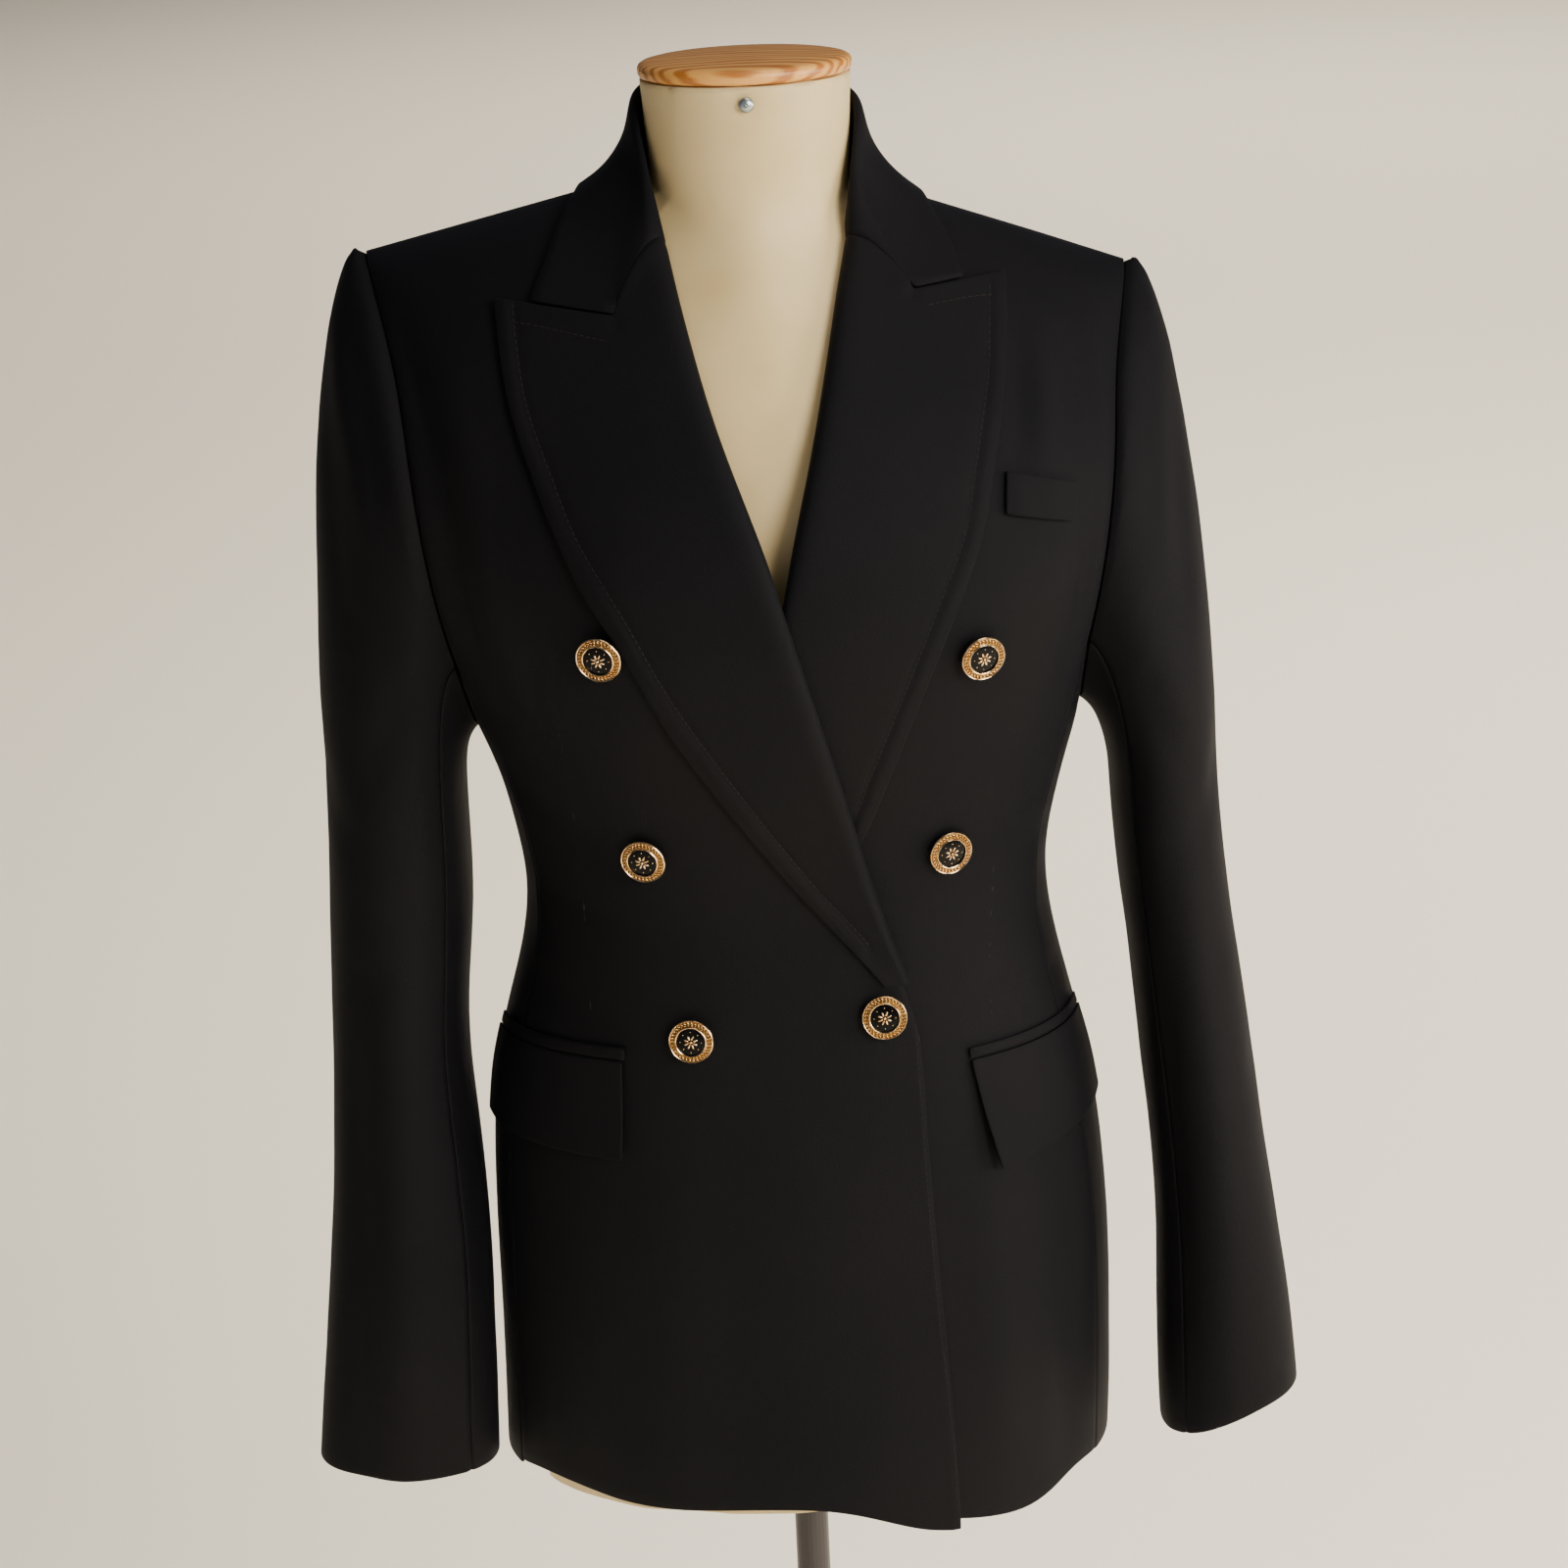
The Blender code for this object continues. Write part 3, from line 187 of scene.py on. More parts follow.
# The suiting is a matt black crepe: a fine grain, a soft sheen where it turns away, and slow changes
# between a browner and a bluer black.
crepe, crepe_shader = new_material(
    "black crepe suiting",
    "#09080a",
    0.70,
    [("Sheen Weight", 0.030), ("Sheen Roughness", 0.4), ("Specular IOR Level", 0.12)],
)
crepe_shader.inputs["Sheen Tint"].default_value = linear("#a9abc2")
crepe_place = object_place(crepe)
slow_change = noise_height(crepe, crepe_place, 7.0, 3.0)
set_tones(crepe, crepe_shader, slow_change, (0.35, "#050509"), (0.68, "#0a090c"))
grain = noise_height(crepe, crepe_place, 2600.0)
pebble = add_node(crepe, "ShaderNodeTexVoronoi", [("Vector", crepe_place), ("Scale", 2300.0)])
crepe_height = add_node(
    crepe, "ShaderNodeMath", [(0, grain), (1, pebble.outputs["Distance"])], operation="ADD"
)
set_bump(crepe, crepe_shader, crepe_height.outputs[0], 0.5, 0.00022)
# The thread is lighter than the crepe. On the darts and the left front's rolled edge this lighter tone is a
# painted highlight.
thread, thread_and_highlight_shader = new_material("black sewing thread lightened for painted highlights", "#1d1716", 0.7, [("Specular IOR Level", 0.25)])
twist = add_node(
    thread,
    "ShaderNodeTexWave",
    [("Vector", object_place(thread)), ("Scale", 900.0)],
    bands_direction="DIAGONAL",
)
set_bump(thread, thread_and_highlight_shader, twist.outputs["Fac"], 0.4, 0.0001)


# The fronts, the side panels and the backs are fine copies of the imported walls. Soft folds are pressed
# into them by place alone, so that layers that lie on each other move together. A fold fades out next
# to an armhole seam, and no cloth is pressed into the form.
TORSO_FOLDS = [
    # path, half width, depth
    (
        [
            (-0.186, -0.030, 1.190),
            (-0.173, -0.060, 1.145),
            (-0.163, -0.081, 1.103),
            (-0.150, -0.085, 0.990),
        ],
        0.011,
        -0.0034,
    ),
    ([(-0.156, -0.062, 1.165), (-0.146, -0.091, 1.105), (-0.132, -0.100, 1.000)], 0.010, 0.0018),
    (
        [
            (0.171, -0.035, 1.180),
            (0.177, -0.050, 1.143),
            (0.175, -0.072, 1.074),
            (0.170, -0.070, 1.025),
        ],
        0.006,
        0.0016,
    ),
    (
        [
            (0.147, -0.021, 1.204),
            (0.163, -0.050, 1.160),
            (0.161, -0.080, 1.047),
            (0.150, -0.085, 0.980),
        ],
        0.011,
        -0.0034,
    ),
    ([(0.144, -0.045, 1.190), (0.144, -0.069, 1.147), (0.139, -0.089, 1.095)], 0.009, 0.0022),
    ([(0.134, -0.048, 1.184), (0.132, -0.073, 1.149), (0.128, -0.087, 1.115)], 0.007, -0.0014),
    ([(0.100, -0.004, 1.230), (0.130, -0.010, 1.216), (0.163, -0.033, 1.182)], 0.012, -0.0022),
    ([(0.104, -0.090, 0.745), (0.106, -0.096, 0.644), (0.107, -0.095, 0.545)], 0.017, 0.0024),
    ([(0.147, -0.063, 0.735), (0.148, -0.068, 0.640), (0.144, -0.071, 0.545)], 0.013, -0.0030),
    ([(-0.155, -0.030, 0.838), (-0.127, -0.054, 0.832), (-0.090, -0.090, 0.826)], 0.008, -0.0015),
    ([(-0.170, -0.040, 1.060), (-0.110, -0.105, 0.960)], 0.012, -0.0016),
    ([(-0.150, -0.040, 0.960), (-0.070, -0.105, 0.905)], 0.010, -0.0014),
    ([(-0.135, -0.045, 0.890), (-0.060, -0.105, 0.868)], 0.008, -0.0015),
    ([(-0.030, -0.112, 0.880), (0.060, -0.108, 0.868)], 0.011, -0.0012),
    ([(0.140, -0.035, 0.905), (0.080, -0.085, 0.878)], 0.008, -0.0016),
    ([(0.155, -0.010, 0.832), (0.142, -0.050, 0.822), (0.115, -0.085, 0.822)], 0.005, -0.0014),
    ([(0.158, -0.004, 0.815), (0.150, -0.040, 0.811), (0.130, -0.070, 0.812)], 0.004, 0.0012),
    ([(-0.120, -0.090, 0.735), (-0.105, -0.100, 0.550)], 0.018, 0.0022),
    ([(-0.030, -0.115, 0.780), (-0.045, -0.118, 0.550)], 0.028, -0.0020),
    ([(0.060, 0.085, 0.880), (0.110, 0.060, 0.862)], 0.009, -0.0016),
    ([(-0.060, 0.085, 0.885), (-0.112, 0.060, 0.866)], 0.009, -0.0016),
    ([(0.165, 0.040, 1.150), (0.105, 0.090, 1.010)], 0.012, -0.0026),
    ([(-0.165, 0.040, 1.160), (-0.105, 0.090, 1.015)], 0.012, -0.0026),
    ([(0.070, 0.110, 0.760), (0.082, 0.112, 0.545)], 0.019, 0.0024),
    ([(-0.075, 0.110, 0.760), (-0.088, 0.112, 0.545)], 0.019, 0.0024),
]


def search_tree(pieces):
    """All faces of some pieces, for finding the nearest one or the one that a line meets first."""
    points, faces = [], []
    for piece in pieces:
        first = len(points)
        points += [vertex.co.copy() for vertex in piece.data.vertices]
        faces += [[first + index for index in face.vertices] for face in piece.data.polygons]
    return BVHTree.FromPolygons(points, faces)


def frame_tree(*starts):
    return search_tree([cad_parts[node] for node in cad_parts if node.startswith(starts)])


sleeve_tree = frame_tree("sleeve")
body_tree = frame_tree("front", "back", "side_panel")
form_tree = frame_tree("form")


def smooth_step(low, high, value):
    share = min(max((value - low) / (high - low), 0.0), 1.0)
    return share * share * (3 - 2 * share)


def long_folds(folds):
    """Each fold's straight runs, with the share of the whole at which each one starts and ends."""
    ready = []
    for path, half_width, depth in folds:
        points = [Vector(point) for point in path]
        lengths = [(b - a).length for a, b in zip(points, points[1:])]
        total, travelled, runs = sum(lengths), 0.0, []
        for start, end, length in zip(points, points[1:], lengths):
            runs.append((start, end - start, travelled / total, length / total))
            travelled += length
        ready.append((runs, half_width, depth))
    return ready


def fold_depth(point, folds):
    """The sum of the folds near a point. Each fades out at both ends and across its width."""
    depth = 0.0
    for runs, half_width, amount in folds:
        nearest, along = 9.0, 0.0
        for start, way, first, share_of_all in runs:
            share = min(max((point - start).dot(way) / way.length_squared, 0.0), 1.0)
            gap = (point - start - way * share).length
            if gap < nearest:
                nearest, along = gap, first + share * share_of_all
        if nearest < 3 * half_width:
            ends = math.sin(math.pi * (along * 0.84 + 0.08)) ** 0.6
            depth += amount * math.exp(-((nearest / half_width) ** 2)) * ends
    return depth


torso_folds = long_folds(TORSO_FOLDS)
FORM_ROOM = 0.0015
HEM_WAVE = 0.0010


def torso_push(point):
    """How the torso's cloth moves at a point: the folds and a slow unevenness, away from the body."""
    outward = Vector((point.x / 0.17**2, point.y / 0.11**2, 0)).normalized()
    depth = fold_depth(point, torso_folds)
    depth += noise.noise(point * 9.0) * 0.0010 + noise.noise(point * 23.0) * 0.0003
    depth += smooth_step(0.62, 0.54, point.z) * math.sin(point.x * 34.0 + 0.8) * HEM_WAVE
    seam_gap = sleeve_tree.find_nearest(point)[3]
    depth *= smooth_step(0.0015, 0.0110, seam_gap)
    if depth < 0:
        room = form_tree.find_nearest(point)[3] - FORM_ROOM
        depth = max(depth, -max(room, 0.0))
    return outward * depth


def fine_copy(node, name, material, levels, push):
    """A subdivided copy of a packed wall with its creases pressed in. It stands for that node."""
    copy = bmesh.new()
    copy.from_mesh(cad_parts[node].data)
    bmesh.ops.remove_doubles(copy, verts=copy.verts, dist=0.00002)
    bmesh.ops.join_triangles(
        copy, faces=copy.faces, angle_face_threshold=math.radians(40), angle_shape_threshold=math.pi
    )
    crease = copy.edges.layers.float.new("crease_edge")
    for edge in copy.edges:
        if len(edge.link_faces) == 2 and edge.calc_face_angle() > math.radians(50):
            edge[crease] = 0.72
    mesh = bpy.data.meshes.new(name)
    copy.to_mesh(mesh)
    copy.free()
    piece = bpy.data.objects.new(name, mesh)
    bpy.context.collection.objects.link(piece)
    finer = piece.modifiers.new("finer", "SUBSURF")
    finer.levels = levels
    finer.render_levels = levels
    shape = bpy.data.meshes.new_from_object(piece.evaluated_get(bpy.context.evaluated_depsgraph_get()))
    piece.modifiers.clear()
    piece.data = shape
    shape.name = name
    if push:
        for vertex in shape.vertices:
            vertex.co += push(vertex.co.copy())
    shape.materials.clear()
    shape.materials.append(material)
    shape.shade_smooth()
    shape.set_sharp_from_angle(angle=math.radians(60))
    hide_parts(node)
    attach(piece, "root")
    return piece


def garment_sheet(node, levels=2, push=torso_push):
    """A cut panel of the suiting, as a fine copy of its node in the crepe."""
    piece = fine_copy(node, f"{node}_cloth", crepe, levels, push)
    return piece


front_left = garment_sheet("front_left")
front_right = garment_sheet("front_right")
for side in ("left", "right"):
    garment_sheet(f"side_panel_{side}")
    garment_sheet(f"back_{side}")


# The lapels are cut on their own. A topstitched line runs 9 mm inside each outer edge and presses a
# shallow groove into the cloth.
LEFT_STITCH_EDGE = [
    (0.0367, 0.8593),
    (0.0046, 0.9020),
    (-0.0271, 0.9513),
    (-0.0578, 1.0025),
    (-0.0799, 1.0478),
    (-0.1024, 1.0886),
    (-0.1139, 1.1180),
    (-0.1260, 1.1528),
    (-0.1309, 1.1854),
    (-0.1320, 1.2031),
]
RIGHT_STITCH_EDGE = [
    (0.0090, 0.8750),
    (0.0398, 0.9178),
    (0.0572, 0.9594),
    (0.0748, 1.0024),
    (0.0923, 1.0454),
    (0.1081, 1.0833),
    (0.1153, 1.1152),
    (0.1238, 1.1534),
    (0.1265, 1.1753),
    (0.1288, 1.2014),
]
STITCH_INSET = 0.0090


def smooth_path(points, step):
    """Even steps along a curve through some points of a plane."""
    dense = []
    for i in range(len(points) - 1):
        before, here = Vector(points[max(i - 1, 0)]), Vector(points[i])
        there, after = Vector(points[i + 1]), Vector(points[min(i + 2, len(points) - 1)])
        for k in range(12):
            t = k / 12
            bend = (2 * before - 5 * here + 4 * there - after) * t * t
            bend += (3 * here - before - 3 * there + after) * t**3
            dense.append((2 * here + (there - before) * t + bend) / 2)
    dense.append(Vector(points[-1]))
    path, travelled = [dense[0]], 0.0
    for here, there in zip(dense, dense[1:]):
        length = (there - here).length
        while travelled + length >= step:
            here = here.lerp(there, (step - travelled) / length)
            length = (there - here).length
            path.append(here)
            travelled = 0.0
        travelled += length
    return path


def inset_path(path, inset):
    """The same path, moved sideways in its plane."""
    moved = []
    for i, point in enumerate(path):
        way = (path[min(i + 1, len(path) - 1)] - path[max(i - 1, 0)]).normalized()
        moved.append(point + Vector((way.y, -way.x)) * inset)
    return moved


# Where each lapel meets the collar, from the notch up to the roll.
LEFT_GORGE = [
    (-0.0712, 1.1935),
    (-0.0694, 1.2027),
    (-0.0656, 1.2101),
    (-0.0599, 1.2179),
    (-0.0562, 1.2230),
    (-0.0460, 1.2276),
]
RIGHT_GORGE = [
    (0.0804, 1.2000),
    (0.0760, 1.2031),
    (0.0700, 1.2109),
    (0.0640, 1.2183),
    (0.0572, 1.2223),
    (0.0490, 1.2238),
]


def under_collar(gorge, side, seen):
    """How a lapel's neck edge is drawn in under the collar, so that the seam between them is closed."""
    nearest, pull = 9.0, Vector()
    for i, (start, end) in enumerate(zip(gorge, gorge[1:])):
        way = end - start
        share = min(max((seen - start).dot(way) / way.length_squared, 0.0), 1.0)
        gap = (seen - start - way * share).length
        if gap < nearest:
            across = Vector((way.y, -way.x)).normalized() * side
            nearest = gap
            near_notch = smooth_step(0.0, 1.2, i + share)
            pull = Vector((across.x, 0, across.y)) * 0.0020 * near_notch + Vector((0, 0.0005, 0))
    return pull * smooth_step(0.0060, 0.0010, nearest)


def lapel_push(edge_points, gorge_points, side):
    """The torso's folds, a groove along the topstitched line and a soft swell outside it."""
    gorge = [Vector(point) for point in gorge_points]
    edge = smooth_path(edge_points, 0.003)
    line = inset_path(edge, -side * STITCH_INSET)
    swell = inset_path(edge, -side * STITCH_INSET * 0.45)

    def push(point):
        seen = Vector((point.x, point.z))
        to_line = min((seen - spot).length for spot in line)
        to_swell = min((seen - spot).length for spot in swell)
        groove = math.exp(-((to_line / 0.0018) ** 2)) * 0.00055
        rise = math.exp(-((to_swell / 0.0030) ** 2)) * 0.00070
        return torso_push(point) + Vector((0, groove - rise, 0)) + under_collar(gorge, side, seen)

    return push


lapel_left = garment_sheet("lapel_left", 3, lapel_push(LEFT_STITCH_EDGE, LEFT_GORGE, -1))
lapel_right = garment_sheet("lapel_right", 3, lapel_push(RIGHT_STITCH_EDGE, RIGHT_GORGE, 1))


# The collar is one piece round the neck, with its roll, its fall and its two points.
garment_sheet("collar")


# The sleeves hang from the armholes in two halves each, with soft breaks at the elbow and the head.
SLEEVE_FOLDS = {
    -1: [
        (
            [
                (-0.2150, -0.020, 1.180),
                (-0.2135, -0.026, 1.160),
                (-0.2080, -0.043, 1.127),
                (-0.2030, -0.060, 1.080),
            ],
            0.007,
            0.0026,
        ),
        (
            [
                (-0.2070, -0.017, 1.189),
                (-0.2030, -0.037, 1.157),
                (-0.1970, -0.055, 1.120),
                (-0.1920, -0.065, 1.085),
            ],
            0.007,
            -0.0018,
        ),
        ([(-0.2280, -0.010, 1.170), (-0.2240, -0.035, 1.110), (-0.2180, -0.050, 1.040)], 0.011, -0.0022),
        (
            [
                (-0.2060, -0.060, 0.850),
                (-0.2100, -0.064, 0.778),
                (-0.2160, -0.071, 0.678),
                (-0.2210, -0.070, 0.560),
            ],
            0.014,
            0.0024,
        ),
        (
            [
                (-0.2300, -0.055, 0.840),
                (-0.2340, -0.058, 0.776),
                (-0.2390, -0.066, 0.676),
                (-0.2450, -0.067, 0.560),
            ],
            0.011,
            -0.0026,
        ),
        ([(-0.1850, -0.060, 1.010), (-0.2250, -0.060, 0.940)], 0.011, -0.0022),
        ([(-0.2450, -0.020, 0.960), (-0.2150, -0.060, 0.905)], 0.011, -0.0020),
        ([(-0.1780, -0.035, 0.870), (-0.2250, -0.058, 0.835)], 0.009, -0.0020),
        ([(-0.1900, -0.055, 0.720), (-0.2350, -0.060, 0.640)], 0.012, -0.0014),
        ([(-0.2200, 0.058, 0.900), (-0.2500, 0.030, 0.850)], 0.010, -0.0022),
    ],
    1: [
        ([(0.2130, -0.030, 1.165), (0.2070, -0.050, 1.110), (0.2030, -0.063, 1.050)], 0.008, 0.0020),
        ([(0.2230, -0.020, 1.150), (0.2190, -0.045, 1.080), (0.2140, -0.055, 1.000)], 0.010, -0.0020),
        (
            [
                (0.2160, -0.057, 0.870),
                (0.2210, -0.060, 0.806),
                (0.2255, -0.068, 0.700),
                (0.2280, -0.070, 0.575),
            ],
            0.012,
            0.0026,
        ),
        (
            [
                (0.2030, -0.054, 0.830),
                (0.2040, -0.056, 0.737),
                (0.2060, -0.061, 0.640),
                (0.2070, -0.060, 0.560),
            ],
            0.009,
            -0.0022,
        ),
        ([(0.1880, -0.058, 1.000), (0.2200, -0.058, 0.930)], 0.011, -0.0020),
        ([(0.2430, -0.020, 0.950), (0.2120, -0.058, 0.895)], 0.011, -0.0020),
        ([(0.1950, -0.045, 0.860), (0.2350, -0.055, 0.825)], 0.010, -0.0018),
        ([(0.2520, -0.030, 0.770), (0.2150, -0.064, 0.735)], 0.011, -0.0016),
        ([(0.2150, 0.058, 0.900), (0.2440, 0.030, 0.850)], 0.010, -0.0020),
    ],
}
SLEEVE_HANG = 0.0040


def sleeve_push(side):
    """Folds that move a sleeve's cloth away from or towards the sleeve's own middle line.

    Below the elbow the cloth also moves up to 4 mm to the viewer's right. Of the left sleeve only the side
    next to the body does.
    """
    folds = long_folds(SLEEVE_FOLDS[side])

    def push(point):
        low = smooth_step(0.92, 0.55, point.z)
        middle = Vector((side * (0.206 + 0.018 * low), -0.034 * low, point.z))
        outward = Vector((point.x - middle.x, point.y - middle.y, 0)).normalized()
        depth = fold_depth(point, folds)
        depth += noise.noise(point * 11.0) * 0.0013 + noise.noise(point * 27.0) * 0.0003
        calm = smooth_step(0.0015, 0.0100, body_tree.find_nearest(point)[3])
        to_right = smooth_step(-0.215, -0.180, point.x) * smooth_step(0.82, 0.64, point.z) * SLEEVE_HANG
        return outward * depth * calm + Vector((to_right, 0, 0))

    return push


for side, word, upper, under in (
    (-1, "left", (0.220, 0.690), (0.172, 0.495)),
    (1, "right", (0.195, 0.640), (0.167, 0.485)),
):
    garment_sheet(f"sleeve_upper_{word}", 2, sleeve_push(side))
    garment_sheet(f"sleeve_under_{word}", 2, sleeve_push(side))


# The pockets: a flap under a narrow jetting on each hip, and a welt on the right breast.
for side, flap in (("left", (0.120, 0.056)), ("right", (0.105, 0.064))):
    garment_sheet(f"pocket_flap_{side}", 3)
    jetting = fine_copy(f"pocket_jetting_{side}", f"pocket_jetting_{side}_cloth", crepe, 2, torso_push)


def welt_push(point):
    """The welt lies almost flush, and its inner end runs under the lapel's edge."""
    inner_end = smooth_step(0.126, 0.116, point.x)
    return torso_push(point) + Vector((0.004, 0.0012 + 0.0012 * inner_end, 0))


welt = fine_copy("chest_welt", "chest_welt_cloth", crepe, 3, welt_push)


# Stitches are short tapered threads that lie on the cloth. The darts and the left front's rolled edge
# are thin closed seams. Each runs along a path seen from the front, laid onto the pieces below it. The
# thread is lighter than the crepe, and on the darts and the rolled edge that lighter tone is a painted
# highlight.
def laid_on(tree, path):
    """Drops a path of x and z onto the cloth from the front, with the cloth's own direction there."""
    laid = []
    for point in path:
        spot, normal, _, _ = tree.ray_cast(Vector((point.x, -0.4, point.y)), Vector((0, 1, 0)))
        if spot is not None:
            laid.append((spot, normal))
    return laid


def thread_between(mesh_data, start, end, outward, radius, lift):
    """A low tapered thread from one point to another, a little arched over the cloth."""
    way = end - start
    side_way = way.cross(outward).normalized() * radius
    rings = []
    for share, width in ((0.0, 0.35), (0.18, 1.0), (0.5, 1.05), (0.82, 1.0), (1.0, 0.35)):
        middle = start + way * share + outward * lift * (math.sin(math.pi * share) - 0.15)
        ring = []
        for k in range(6):
            turn = 2 * math.pi * k / 6
            offset = side_way * math.cos(turn) + outward * radius * 0.8 * math.sin(turn)
            ring.append(mesh_data.verts.new(middle + offset * width))
        rings.append(ring)
    for low, high in zip(rings, rings[1:]):
        for k in range(6):
            mesh_data.faces.new((low[k], low[(k + 1) % 6], high[(k + 1) % 6], high[k]))
    mesh_data.faces.new(rings[0][::-1])
    mesh_data.faces.new(rings[-1])


def finish_thread(name, mesh_data):
    bmesh.ops.recalc_face_normals(mesh_data, faces=mesh_data.faces)
    mesh = bpy.data.meshes.new(name)
    mesh_data.to_mesh(mesh)
    mesh_data.free()
    mesh.shade_smooth()
    mesh.materials.append(thread)
    piece = bpy.data.objects.new(name, mesh)
    bpy.context.collection.objects.link(piece)
    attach(piece, "root")
    return piece


def stitch_line(name, tree, path):
    """A row of stitches, each as long as one step of the path, with a gap between them."""
    mesh_data = bmesh.new()
    laid = laid_on(tree, path)
    for (start, outward), (end, _) in zip(laid, laid[1:]):
        if (end - start).length < 0.008:
            thread_between(mesh_data, start, start.lerp(end, 0.72), outward, 0.00021, 0.00012)
    return finish_thread(name, mesh_data)


def seam_line(name, tree, path, radius):
    """A thin closed seam, half sunk into the cloth."""
    mesh_data = bmesh.new()
    laid = laid_on(tree, path)
    for (start, outward), (end, _) in zip(laid, laid[1:]):
        if (end - start).length < 0.02:
            sunk = outward * radius * 0.75
            thread_between(mesh_data, start - sunk, end - sunk, outward, radius, 0.0)
    return finish_thread(name, mesh_data)


left_tree = search_tree([lapel_left])
right_tree = search_tree([lapel_right])
all_fronts = search_tree([front_left, front_right])
STITCH_STEP = 0.0034
SEAM_STEP = 0.006
left_line = inset_path(smooth_path(LEFT_STITCH_EDGE, STITCH_STEP), STITCH_INSET)
right_line = inset_path(smooth_path(RIGHT_STITCH_EDGE, STITCH_STEP), -STITCH_INSET)
stitch_line("lapel_stitches_left", left_tree, left_line)
stitch_line("lapel_stitches_right", right_tree, right_line)
top_left = [(-0.1230, 1.1935), (-0.1100, 1.1918), (-0.0760, 1.1850)]
top_right = [(0.1205, 1.1945), (0.1080, 1.1948), (0.0850, 1.1930)]
stitch_line("peak_stitches_left", left_tree, smooth_path(top_left, STITCH_STEP))
stitch_line("peak_stitches_right", right_tree, smooth_path(top_right, STITCH_STEP))
front_edge = [
    (0.0665, 0.8183),
    (0.0680, 0.7774),
    (0.0697, 0.7239),
    (0.0735, 0.6519),
    (0.0767, 0.6093),
    (0.0792, 0.5650),
    (0.0797, 0.5380),
]
left_front_tree = search_tree([front_left])
stitch_line("front_edge_stitches", left_front_tree, smooth_path(front_edge, STITCH_STEP))
ROLL_TOP = 0.812
ROLL_STEP = 0.015
ROLL_INSET = 0.0011
ROLL_RADIUS = 0.00085
rolled_edge = []
for i in range(19):
    level = ROLL_TOP - ROLL_STEP * i
    near = [vertex.co.x for vertex in front_left.data.vertices if abs(vertex.co.z - level) < 0.006]
    rolled_edge.append((max(near) - ROLL_INSET, level))
# The rolled edge is laid in the lighter thread, as a painted highlight along the front edge.
seam_line("front_edge_roll", left_front_tree, smooth_path(rolled_edge, SEAM_STEP), ROLL_RADIUS)
left_dart = [
    (-0.1130, 1.0472),
    (-0.1140, 1.0139),
    (-0.1100, 0.9795),
    (-0.1073, 0.9458),
    (-0.1059, 0.9161),
    (-0.1052, 0.8870),
    (-0.1047, 0.8200),
]
right_dart = [
    (0.1211, 1.0574),
    (0.1187, 1.0389),
    (0.1174, 1.0012),
    (0.1156, 0.9628),
    (0.1138, 0.9238),
    (0.1111, 0.8852),
    (0.1084, 0.8494),
    (0.1077, 0.8090),
]
DART_RADIUS = 0.00060
# The darts are laid in the lighter thread, as a painted highlight along each dart.
seam_line("dart_left", all_fronts, smooth_path(left_dart, SEAM_STEP), DART_RADIUS)
seam_line("dart_right", all_fronts, smooth_path(right_dart, SEAM_STEP), DART_RADIUS)


# The buttons: a turned rim with a rope band, a dark enamel centre and a plain eight-petalled rosette.
gold, gold_shader = new_material("pale gold plate", "#e3c28a", 0.22, [("Metallic", 1.0)])
gold_wear = noise_height(gold, object_place(gold), 420.0, 3.0)
set_tones(gold, gold_shader, gold_wear, (0.30, "#cfa066"), (0.62, "#f0d3a4"))
set_bump(gold, gold_shader, gold_wear, 0.25, 0.0002)
dark_gold, dark_gold_shader = new_material(
    "gold darkened in the recesses", "#7c5826", 0.38, [("Metallic", 1.0)]
)
set_bump(dark_gold, dark_gold_shader, noise_height(dark_gold, object_place(dark_gold), 1100.0), 0.5, 0.0002)
enamel, enamel_shader = new_material("black enamel", "#040404", 0.2, [("Specular IOR Level", 0.12)])
set_roughness(enamel, enamel_shader, noise_height(enamel, object_place(enamel), 600.0), 0.16, 0.30)


def ring_of(mesh_data, turn_to, profile, segments):
    """Turns a profile of radius and height round an axis. It may start and end on the axis."""
    rings = []
    for radius, rise in profile:
        count = segments if radius > 0 else 1
        ring = []
        for k in range(count):
            angle = 2 * math.pi * k / count
            spot = Vector((radius * math.cos(angle), radius * math.sin(angle), rise))
            ring.append(mesh_data.verts.new(turn_to @ spot))
        rings.append(ring)
    for low, high in zip(rings, rings[1:]):
        for k in range(segments):
            after = (k + 1) % segments
            corners = [low[k % len(low)], low[after % len(low)], high[after % len(high)], high[k % len(high)]]
            mesh_data.faces.new(list(dict.fromkeys(corners)))


def bead(mesh_data, turn_to, centre, size, spin=0.0):
    """A small rounded grain: size is its half length, half width and half height."""
    place = turn_to @ Matrix.Translation(centre) @ Matrix.Rotation(spin, 4, "Z") @ Matrix.Diagonal((*size, 1))
    bmesh.ops.create_uvsphere(mesh_data, u_segments=10, v_segments=6, radius=1.0, matrix=place)


def bead_ring(mesh_data, turn_to, count, first, radius, rise, size, twist):
    """Even beads in a ring. With a twist each points outwards and is turned by it, or else none is turned."""
    for k in range(count):
        angle = 2 * math.pi * (k + first) / count
        centre = Vector((radius * math.cos(angle), radius * math.sin(angle), rise))
        bead(mesh_data, turn_to, centre, size, 0.0 if twist is None else angle + twist)


def new_piece(name, mesh_data, material, slot, *nodes):
    """Links a finished mesh as a piece on the frame."""
    bmesh.ops.recalc_face_normals(mesh_data, faces=mesh_data.faces)
    mesh = bpy.data.meshes.new(name)
    mesh_data.to_mesh(mesh)
    mesh_data.free()
    mesh.shade_smooth()
    mesh.set_sharp_from_angle(angle=math.radians(50))
    mesh.materials.append(material)
    piece = bpy.data.objects.new(name, mesh)
    bpy.context.collection.objects.link(piece)
    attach(piece, "root")
    if nodes:
        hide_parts(*nodes)
    return piece


